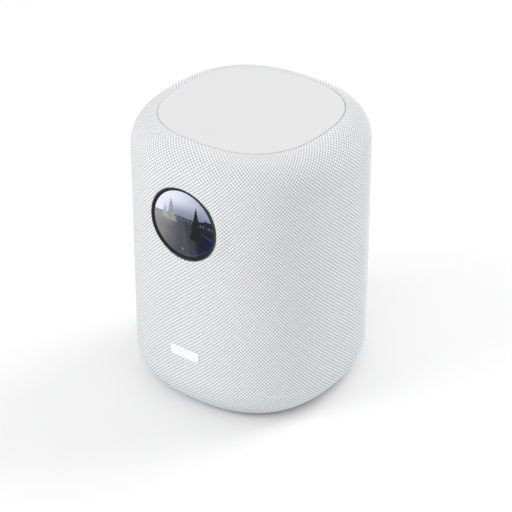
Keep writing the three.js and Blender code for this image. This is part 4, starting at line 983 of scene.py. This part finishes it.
make_base()
make_foot()
for screw in SCREWS:
    make_screw(screw)


# ------------------------------------------------------------ socket panel at the back
RECESS_Y = 66.0
PANEL_RIM = 4.0
HOLE_GAP = 0.3
INLET_WIDTH, INLET_HEIGHT = 19, 11.5
NETWORK_WIDTH, NETWORK_HEIGHT = 16, 13.5
AUDIO_RADIUS, BUTTON_RADIUS = 3.9, 2.6


def placed(node):
    """A socket's middle x and z, and the y of its face and of its rear."""
    low, high = box(node)
    return (low.x + high.x) / 2, (low.z + high.z) / 2, high.y, low.y


def make_socket_panel():
    rear, rim = SOCKET_LOW.y, PANEL_RIM

    def row(shrink, y):
        width, height = SOCKET_WIDTH - 2 * shrink, SOCKET_HEIGHT - 2 * shrink
        return at_depth(rounded(width, height, max(SOCKET_CORNER - shrink * 0.5, 1.0), 0, SOCKET_Z), y)

    def hull(shrink, drop):
        return row(shrink, lambda x: plan_depth(x, -0.8) - drop)

    shape = Shape()
    rows = shape.skin([
        row(0, rear), hull(0, 0.6), hull(0.1, 0.2), hull(0.45, 0.02), hull(0.9, 0), hull(rim - 0.7, 0),
        hull(rim - 0.3, 0.04), hull(rim - 0.06, 0.3), hull(rim, 0.8), row(rim, RECESS_Y + 0.6),
        row(rim + 0.15, RECESS_Y + 0.15), row(rim + 0.6, RECESS_Y), row(rim + 0.9, RECESS_Y),
    ])
    inlet_x, network_x, audio_x = (placed(node)[0] for node in ("mains_inlet", "network_jack", "audio_jack"))
    button_x, button_z, *_ = placed("setup_button")
    knob_x, knob_z, *_ = placed("microphone_switch")

    def holes(grown):
        wider = 2 * HOLE_GAP + grown
        return [
            rounded(INLET_WIDTH + wider, INLET_HEIGHT + wider, 4, inlet_x, SOCKET_Z),
            rounded(NETWORK_WIDTH + wider, NETWORK_HEIGHT + wider, 1, network_x, SOCKET_Z),
            rounded(4.6 + wider, 2.4 + wider, 0.6, knob_x + 1.0, knob_z, 4, 4),
            circle(AUDIO_RADIUS + wider / 2, audio_x, SOCKET_Z),
            circle(BUTTON_RADIUS + wider / 2, button_x, button_z),
        ]

    cut = [
        shape.skin([at_depth(wide, RECESS_Y), at_depth(tight, RECESS_Y - 0.15), at_depth(tight, rear)])
        for wide, tight in zip(holes(0.3), holes(0.0))
    ]
    shape.fill(rows[-1], *(hole[0] for hole in cut))
    shape.fill(rows[0], *(hole[-1] for hole in cut))
    shape.make("socket_panel_moulded", "panel_white", "socket_panel")


def make_inlet():
    x, _, face, rear = placed("mains_inlet")
    well = face - 12

    def outer(shrink, y):
        width, height = INLET_WIDTH - 2 * shrink, INLET_HEIGHT - 2 * shrink
        return at_depth(rounded(width, height, 3.7 - shrink * 0.6, x, SOCKET_Z), y)

    def inner(grown, y):
        return at_depth(rounded(13.2 + 2 * grown, 8 + 2 * grown, 3.9 + grown * 0.6, x, SOCKET_Z), y)

    shape = Shape()
    rows = shape.skin([
        outer(0.3, rear), outer(0, rear + 0.3), outer(0, face - 0.4), outer(0.12, face - 0.1),
        outer(0.4, face), inner(0.5, face), inner(0.14, face - 0.12), inner(0, face - 0.5),
        inner(0, well + 0.3), inner(-0.3, well),
    ])
    holes = []
    for name in ("mains_inlet_pin_1", "mains_inlet_pin_2"):
        pin_x, _, tip, foot = placed(name)
        holes.append(shape.skin(round_rows([(1.5, well), (1.5, rear)], pin_x, SOCKET_Z, 24)))
        steps = [(1.1, foot), (1.2, foot + 0.1), (1.2, tip - 1.2)]
        steps += [(1.05, tip - 0.5), (0.7, tip - 0.1), (0.3, tip)]
        pin = Shape()
        pin.solid(round_rows(steps, pin_x, SOCKET_Z, 32))
        pin.make(f"{name}_rounded", "steel", name)
    shape.fill(rows[-1], *(hole[0] for hole in holes))
    shape.fill(rows[0], *(hole[-1] for hole in holes))
    shape.make("mains_inlet_moulded", "black_plastic", "mains_inlet")


def make_network_jack():
    """A shielded jack with its latch notch and eight spring contacts."""
    x, _, face, rear = placed("network_jack")

    def shell(shrink, y):
        width, height = NETWORK_WIDTH - 2 * shrink, NETWORK_HEIGHT - 2 * shrink
        return at_depth(rounded(width, height, 0.6 - shrink / 2, x, SOCKET_Z, 4, 4), y)

    def mouth(grown, y):
        w, h, notch = 5.9 + grown, 4.0 + grown, 3.0 + grown
        shelf = -2.3 - grown
        half = [(notch, -h), (notch, shelf), (w, shelf), (w, h)]
        corners = half + [(-a, b) for a, b in reversed(half)]
        outline = []
        for (a, b), (c, d) in zip(corners, corners[1:] + corners[:1]):
            outline += [(x + a + (c - a) * i / 6, SOCKET_Z + b + (d - b) * i / 6) for i in range(6)]
        return at_depth(outline, y)

    shape = Shape()
    rows = shape.skin([shell(0.2, rear), shell(0, rear + 0.2), shell(0, face - 0.2), shell(0.2, face)])
    well = shape.skin([mouth(0.15, face), mouth(0, face - 0.2), mouth(0, face - 13)])
    shape.fill(rows[-1], well[0])
    shape.fill(well[-1])
    shape.cap(rows[0])
    shape.make("network_jack_shield", "steel", "network_jack")

    contacts = Shape()
    width, thick, pitch = 0.5, 0.25, 1.02
    line = [(face - 12.8, 3.6), (face - 11.5, 3.5), (face - 4.5, 0.9), (face - 3.2, 1.3), (face - 2.6, 2.2)]
    for i in range(8):
        left = x - 3.57 + i * pitch - width / 2
        right = left + width
        contacts.solid([
            [(left, y, SOCKET_Z + z), (right, y, SOCKET_Z + z),
             (right, y, SOCKET_Z + z + thick), (left, y, SOCKET_Z + z + thick)]
            for y, z in line
        ])
    contacts.make("network_jack_contacts", "copper", crease=30)


def make_audio_jack():
    x, _, face, rear = placed("audio_jack")
    block_front, floor = SOCKET_LOW.y - 4, SOCKET_LOW.y - 12

    def square(size, y):
        reach = [(px, pz, size / max(abs(px), abs(pz))) for px, pz in circle(1)]
        return at_depth([(x + px * r, SOCKET_Z + pz * r) for px, pz, r in reach], y)

    profile = [
        (1.8, floor), (1.8, face - 0.9), (2.0, face - 0.6), (2.35, face - 0.45), (3.4, face - 0.1),
        (3.6, face), (3.8, face - 0.08), (AUDIO_RADIUS, face - 0.35), (AUDIO_RADIUS, block_front + 0.01),
    ]
    block = [
        square(5.2, block_front), square(5.5, block_front - 0.3), square(5.5, rear + 0.3), square(5.2, rear),
    ]
    shape = Shape()
    shape.solid(round_rows(profile, x, SOCKET_Z) + block)
    shape.make("audio_jack_moulded", "black_plastic", "audio_jack")
    profile = [
        (1.72, face - 4), (1.72, face - 0.75), (1.95, face - 0.5), (2.3, face - 0.4), (2.3, face - 0.55),
        (1.78, face - 4),
    ]
    ferrule = Shape()
    ferrule.skin(round_rows(profile, x, SOCKET_Z), closed=True)
    ferrule.make("audio_jack_ferrule", "steel")


def make_button():
    x, z, face, rear = placed("setup_button")
    collar, radius = SOCKET_LOW.y - 0.3, BUTTON_RADIUS
    profile = [
        (3.5, rear), (3.6, rear + 0.1), (3.6, collar - 0.1), (3.5, collar), (2.65, collar),
        (radius, collar + 0.05), (radius, face - 0.4), (2.5, face - 0.12), (2.25, face),
        (1.9, face - 0.04), (1.0, face - 0.22), (0.4, face - 0.26),
    ]
    shape = Shape()
    shape.solid(round_rows(profile, x, z))
    shape.make("setup_button_cap", "cage_grey", "setup_button", body="setup_button_cap")


def make_switch():
    """A plate that hides the slot, and a knob on it with three grip ribs."""
    x, z, face, rear = placed("microphone_switch")
    plate = SOCKET_LOW.y - 0.3

    def row(width, height, corner, y):
        return at_depth(rounded(width, height, corner, x, z, 4, 10), y)

    shape = Shape()
    shape.solid([
        row(7.4, 5.0, 0.4, rear), row(7.6, 5.2, 0.5, rear + 0.1), row(7.6, 5.2, 0.5, plate - 0.1),
        row(7.4, 5.0, 0.4, plate), row(2.6, 2.4, 0.3, plate + 0.05), row(2.6, 2.4, 0.3, face - 0.5),
        row(2.45, 2.25, 0.25, face - 0.35), row(2.2, 2.0, 0.2, face - 0.32),
    ])
    rib = [(0.26, face - 0.4), (0.26, face - 0.15), (0.16, face - 0.02), (0.08, face)]
    for aside in (-0.72, 0, 0.72):
        shape.solid([at_depth(rounded(2 * w, 1.9, w * 0.9, x + aside, z, 3, 3), y) for w, y in rib])
    name = "microphone_switch"
    shape.make(f"{name}_ribbed", "black_plastic", name, body=f"{name}_knob")


make_socket_panel()
make_inlet()
make_network_jack()
make_audio_jack()
make_button()
make_switch()


# ------------------------------------------------------------ speakers
COIL_RADIUS = 12.9
UP = Vector((0, 0, 1))
CENTRE = Vector((0, 0, 0))
NEARLY_QUARTER = math.pi / 2 * 0.985  # domes stop short of their pole


def sideways(axis):
    return axis.cross(UP).normalized() if abs(axis.z) < 0.9 else Vector((1, 0, 0))


def turned(name, slot, profile, node, origin=CENTRE, axis=UP, count=128, lobes=None, body=None):
    """A shape turned about an axis from a closed profile of [radius, height] pairs."""
    across = sideways(axis)
    other = axis.cross(across)
    loops = []
    for radius, height in profile:
        loop = []
        for i in range(count):
            turn = math.tau * i / count
            lift = lobes(radius, turn) if lobes else 0.0
            way = across * math.cos(turn) + other * math.sin(turn)
            loop.append(tuple(origin + axis * (height + lift) + way * radius))
        loops.append(loop)
    shape = Shape()
    shape.skin(loops, closed=True)
    return shape.make(name, slot, node, body=body)


def blend_by_radius(made, origin, axis, inner, outer):
    """Bakes the ring's transform and works out each point's share between the inner radius and the outer one.
    """
    across = sideways(axis)
    start, end = (origin + across * r for r in (inner, outer))
    start * MM
    end * MM
    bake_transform(made)
    points = np.array([v.co for v in made.data.vertices]) / MM - np.array(origin)
    along = np.array(axis)
    radius = np.linalg.norm(points - np.outer(points @ along, along), axis=1)
    share = np.clip((radius - inner) / (outer - inner), 0, 1)


def half_round(centre, radius, height, steps):
    turns = [math.pi * i / steps for i in range(steps + 1)]
    return [(centre - radius * math.cos(t), height + radius * math.sin(t)) for t in turns]


def dome(radius, height, base, steps):
    return [
        (radius * math.cos(t), base + height * math.sin(t)) for t in np.linspace(0, NEARLY_QUARTER, steps)
    ]


def both_faces(line, skin):
    """A closed profile round a line of [radius, height] points, with the line as its middle."""
    line = np.array(line, float)
    way = np.gradient(line, axis=0)
    way /= np.linalg.norm(way, axis=1, keepdims=True)
    step = np.stack([-way[:, 1], way[:, 0]], 1) * skin / 2
    return [*map(tuple, line + step), *map(tuple, (line - step)[::-1])]


def make_woofer():
    diaphragm = "woofer_diaphragm"
    cone_low, cone_high = box("woofer_cone")
    low, high = box("woofer_surround")
    rim, lip, skin, edge = cone_high.x, low.z, 0.6, high.x
    roll = (high.z - lip - skin / 2) - skin / 2
    centre, half = rim + roll, skin / 2
    profile = [
        (rim - 1.8, lip + 0.2), (rim - 1.6, lip + skin), (rim - 0.6, lip + skin),
        *half_round(centre, roll + half, lip + half, 18),
        (edge - 0.2, lip + skin), (edge, lip + skin - 0.2), (edge, lip),
        *reversed(half_round(centre, roll - half, lip + half, 18)),
        (rim - 0.8, lip), (rim - 1.8, lip),
    ]
    surround = turned("woofer_surround_roll", "foot_rubber", profile, "woofer_surround")
    blend_by_radius(surround, Vector((0, 0, lip)), UP, rim, centre + roll - 0.5)

    low, high = box("woofer_spider")
    inner, outer, middle = COIL_RADIUS + 0.3, high.x, (low.z + high.z) / 2
    line = []
    for i in range(61):
        share = i / 60
        swell = math.sin(math.pi * share) ** 0.5 if 0 < share < 1 else 0
        line.append((inner + (outer - inner) * share, middle - 0.6 * swell * math.cos(4 * math.tau * share)))
    profile = both_faces(line, 0.36)
    spider = turned("woofer_spider_corrugated", "silk", profile, "woofer_spider", count=96)
    blend_by_radius(spider, Vector((0, 0, middle)), UP, inner + 2, outer - 5)

    flange = box("woofer_basket")[1].z
    neck, foot, top = COIL_RADIUS + 0.4, cone_low.z + 0.9, flange - 0.9
    line = [(neck + (rim - 2.2 - neck) * i / 28, foot + (top - foot) * (i / 28) ** 0.97) for i in range(29)]
    line += [(rim - 1.4, flange - 0.5), (rim - 0.05, flange - 0.45)]

    def ribs(radius, turn):
        share = min(max((radius - neck - 5) / (rim - neck - 9), 0), 1)
        return -0.10 * (0.5 - 0.5 * math.cos(math.tau * share)) * (1 + math.cos(24 * turn))

    cone = both_faces(line, 0.8)
    turned("woofer_cone_pressed", "paper_cone", cone, "woofer_cone", count=192, lobes=ribs, body=diaphragm)

    low, high = box("woofer_dust_cap")
    base, height = high.x, high.z - low.z
    cap = dome(base, height, low.z, 14) + dome(base - 0.8, height - 0.7, low.z, 14)[::-1]
    turned("woofer_dust_cap_pressed", "paper_cone", cap, "woofer_dust_cap", count=96, body=diaphragm)


def make_tweeter(side, sign):
    diaphragm = f"tweeter_{side}_diaphragm"
    low, high = box(f"tweeter_{side}_faceplate")
    seat = min(abs(low.x), abs(high.x)) * math.sqrt(2) + (high.z - low.z) / 2 - 0.3
    axis = Vector((sign, -1, 0)).normalized()
    origin = axis * seat + UP * ((low + high) / 2).z
    low, high = box(f"tweeter_{side}_dome")
    radius = (high.z - low.z) / 2
    cup = [(radius - 0.4, -5), (radius, -5)]
    cup += dome(radius, 4.2, 0.9, 16) + dome(radius - 0.4, 3.8, 0.6, 16)[::-1]
    turned(f"tweeter_{side}_dome_silk", "silk", cup, f"tweeter_{side}_dome", origin, axis, 96, body=diaphragm)

    low, high = box(f"tweeter_{side}_surround")
    inner, outer = radius + 0.3, (high.z - low.z) / 2
    centre, roll = (inner + outer) / 2, (outer - inner) / 2 - 0.35
    line = [(inner, 0.5), (inner + 0.2, 0.5), *half_round(centre, roll, 0.5, 10)]
    line += [(outer - 0.2, 0.5), (outer, 0.5)]
    flattened = both_faces([(r, 0.5 + (h - 0.5) * 0.75) for r, h in line], 0.3)
    node = f"tweeter_{side}_surround"
    surround = turned(f"{node}_roll", "silk", flattened, node, origin, axis, 96)
    blend_by_radius(surround, origin, axis, inner + 0.2, outer - 0.4)


make_woofer()
make_tweeter("left", -1)
make_tweeter("right", 1)


# ------------------------------------------------------------ soft fillings
def make_damping_foam():
    """A foam block with an egg-crate top and a crowned edge."""
    low, high = box("damping_foam")
    inset, count = HALF - high.x, 160
    pitch, depth = 9, 2.2
    sides = [(inset + 3, low.z), (inset + 1.2, low.z + 0.5), (inset + 0.2, low.z + 2.2)]
    for share in (0.15, 0.3, 0.45, 0.6, 0.75):
        sides.append((inset + 1.4 * math.sin(math.pi * share), low.z + (high.z - low.z - 4) * share))
    sides += [(inset + 0.2, high.z - 5), (inset + 0.9, high.z - 3), (inset + 2.4, high.z - 2)]

    def crest(x, y):
        return depth * (0.5 + 0.5 * math.cos(x * math.tau / pitch) * math.cos(y * math.tau / pitch))

    top = []
    for i, row in enumerate(plan_rows([(inset + 4 + i * 0.97, 0.0) for i in range(41)], count)):
        fade = min(i / 4, 1)
        top.append([(x, y, high.z - 2 - fade * 0.2 + fade * crest(x, y)) for x, y, _ in row])
    under = plan_rows([(inset + 6 + i * 8, low.z) for i in (3, 2, 1, 0)], count)
    shape = Shape()
    shape.solid(under + plan_rows(sides, count) + top)
    foam = shape.make("damping_foam_eggcrate", "foam", "damping_foam")


def make_gasket():
    low, high = box("screen_gasket")
    near, far, outer = low.y, high.y, high.x
    inner, middle = outer - 2.6, (low.y + high.y) / 2
    profile = [
        (inner + 0.12, near), (outer - 0.12, near), (outer, near + 0.15), (outer - 0.08, middle),
        (outer, far - 0.15), (outer - 0.12, far), (inner + 0.12, far), (inner, far - 0.15),
        (inner + 0.08, middle), (inner, near + 0.15),
    ]
    shape = Shape()
    shape.skin(round_rows(profile, 0, DISPLAY_Z, 128), closed=True)
    shape.make("screen_gasket_foam", "foam", "screen_gasket")


make_damping_foam()
make_gasket()


# ------------------------------------------------------------ boards and their parts
def make_block(name, slot, node, corner, soften, top=()):
    """The node's block with rounded upright edges and softened rims; top adds steps of [inset, height]."""
    low, high = box(node)
    width, depth = high.x - low.x, high.y - low.y
    x, y = (low.x + high.x) / 2, (low.y + high.y) / 2
    steps = [(soften, low.z), (0, low.z + soften), (0, high.z - soften), (soften, high.z)]
    steps += [(inset, high.z + rise) for inset, rise in top]
    shape = Shape()
    shape.solid([
        level(rounded(width - 2 * inset, depth - 2 * inset, max(corner - inset, 0.05), x, y, 4, 3), z)
        for inset, z in steps
    ])
    shape.make(name, slot, node, crease=30)


def make_board_parts(name, board, parts):
    """Chips, coils and sockets on a board, as one piece, from rows of [x, y, width, depth, height]."""
    top = (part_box(board)[1] / MM).z
    shape = Shape()
    for x, y, width, depth, height in parts:
        shape.solid([
            level(rounded(width - 2 * inset, depth - 2 * inset, 0.25, x, y, 2, 2), top + z)
            for inset, z in ((0.0, 0.05), (0.0, height - 0.2), (0.2, height))
        ])
    shape.make(name, "black_plastic", crease=30)


for board in ("power_board", "main_board", "wireless_antenna_left", "wireless_antenna_right"):
    low, high = box(board)
    make_block(f"{board}_etched", "board_green", board, min(2.0, (high.x - low.x) * 0.4), 0.12)
make_board_parts("main_board_chips", "main_board", [
    (-18, -20, 9, 9, 1.0), (-4, -26, 6, 4, 0.9), (10, -30, 5, 5, 0.9), (-30, -28, 4, 6, 0.9),
    (-22, 30, 5, 4, 1.0), (-6, 34, 4, 4, 0.9), (28, 14, 8, 5, 1.4), (28, 24, 4, 7, 0.9), (16, 36, 6, 3, 1.0),
])
make_board_parts("power_board_parts", "power_board", [
    (-32, 14, 6, 10, 6), (-20, 16, 8, 6, 4), (-4, 18, 5, 5, 3), (10, 20, 10, 6, 5), (30, 20, 6, 8, 7),
    (-32, -20, 5, 9, 5),
])
pressed_lid = [(0.6, 0), (0.9, -0.25), (2.0, -0.25), (2.3, -0.02)]
make_block("processor_shield_pressed", "steel", "processor_shield", 1.0, 0.25, pressed_lid)


# ------------------------------------------------------------ finish of the CAD nodes that stay
SLOT_OF = {entry["node"]: entry["material_slot"] for entry in frame["record"]["subparts"]}
EDGE_ROUNDING = 0.15 * MM


def finish_node(name):
    """The record's material, welded points and slightly rounded edges on a CAD node that stays in view."""
    made = bpy.data.objects[name]
    mesh = made.data
    mesh.materials.clear()
    # The panel behind the lit glass is black: the picture is drawn on the glass itself.
    mesh.materials.append(MATERIALS["black_plastic" if name == "screen_panel" else SLOT_OF[name]])
    if "custom_normal" in mesh.attributes:
        mesh.attributes.remove(mesh.attributes["custom_normal"])
    mesh.polygons.foreach_set("use_smooth", [True] * len(mesh.polygons))
    weld = made.modifiers.new("weld", "WELD")
    weld.merge_threshold = 1e-6
    bevel = made.modifiers.new("bevel", "BEVEL")
    bevel.limit_method, bevel.angle_limit = "ANGLE", math.radians(42)
    bevel.width, bevel.segments, bevel.use_clamp_overlap, bevel.harden_normals = EDGE_ROUNDING, 2, True, True


replaced = {node for made in bpy.data.objects for node in made.get("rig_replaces", [])}
for node in SLOT_OF:
    if node not in replaced:
        finish_node(node)


# ------------------------------------------------------------ stage and light
LIGHTS = [  # name, azimuth, elevation, watts
    ("light_left", -30, 32, 7.9),
    ("light_behind", 155, 45, 8.6),
    ("light_front", 25, 40, 1.6),
]
LIGHT_DISTANCE, LIGHT_SIZE = 1.6, 0.9
WORLD_STRENGTH = 0.8
FLOOR_REACH = 8.0

for name, azimuth, elevation, watts in LIGHTS:
    data = bpy.data.lights.new(name, "AREA")
    data.shape, data.size, data.energy = "DISK", LIGHT_SIZE, watts
    lamp = add_to_scene(name, data)
    direction = look_from(azimuth, elevation)
    lamp.location = Vector((0, 0, 0.09)) + direction * LIGHT_DISTANCE
    lamp.rotation_mode = "QUATERNION"
    lamp.rotation_quaternion = direction.to_track_quat("Z", "Y")

world = bpy.data.worlds.new("studio")
bpy.context.scene.world = world
world.use_nodes = True
world.node_tree.nodes["Background"].inputs["Color"].default_value = (1, 1, 1, 1)
world.node_tree.nodes["Background"].inputs["Strength"].default_value = WORLD_STRENGTH

floor_mesh = bpy.data.meshes.new("studio_floor")
corners = [(x * FLOOR_REACH, y * FLOOR_REACH, 0) for x, y in ((-1, -1), (1, -1), (1, 1), (-1, 1))]
floor_mesh.from_pydata(corners, [], [(0, 1, 2, 3)])
floor = add_to_scene("studio_floor", floor_mesh)
floor_tree = Tree("studio_floor_paper")
paper = floor_tree.mix(floor_tree.noise(0.02, 2), (0.88, 0.88, 0.885), (0.90, 0.90, 0.90))
floor_mesh.materials.append(floor_tree.finish(Base_Color=paper, Roughness=0.9, Specular_IOR_Level=0.1))
floor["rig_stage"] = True

bpy.context.scene.view_settings.view_transform = "Standard"

# ------------------------------------------------------------ sizes
low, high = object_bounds()
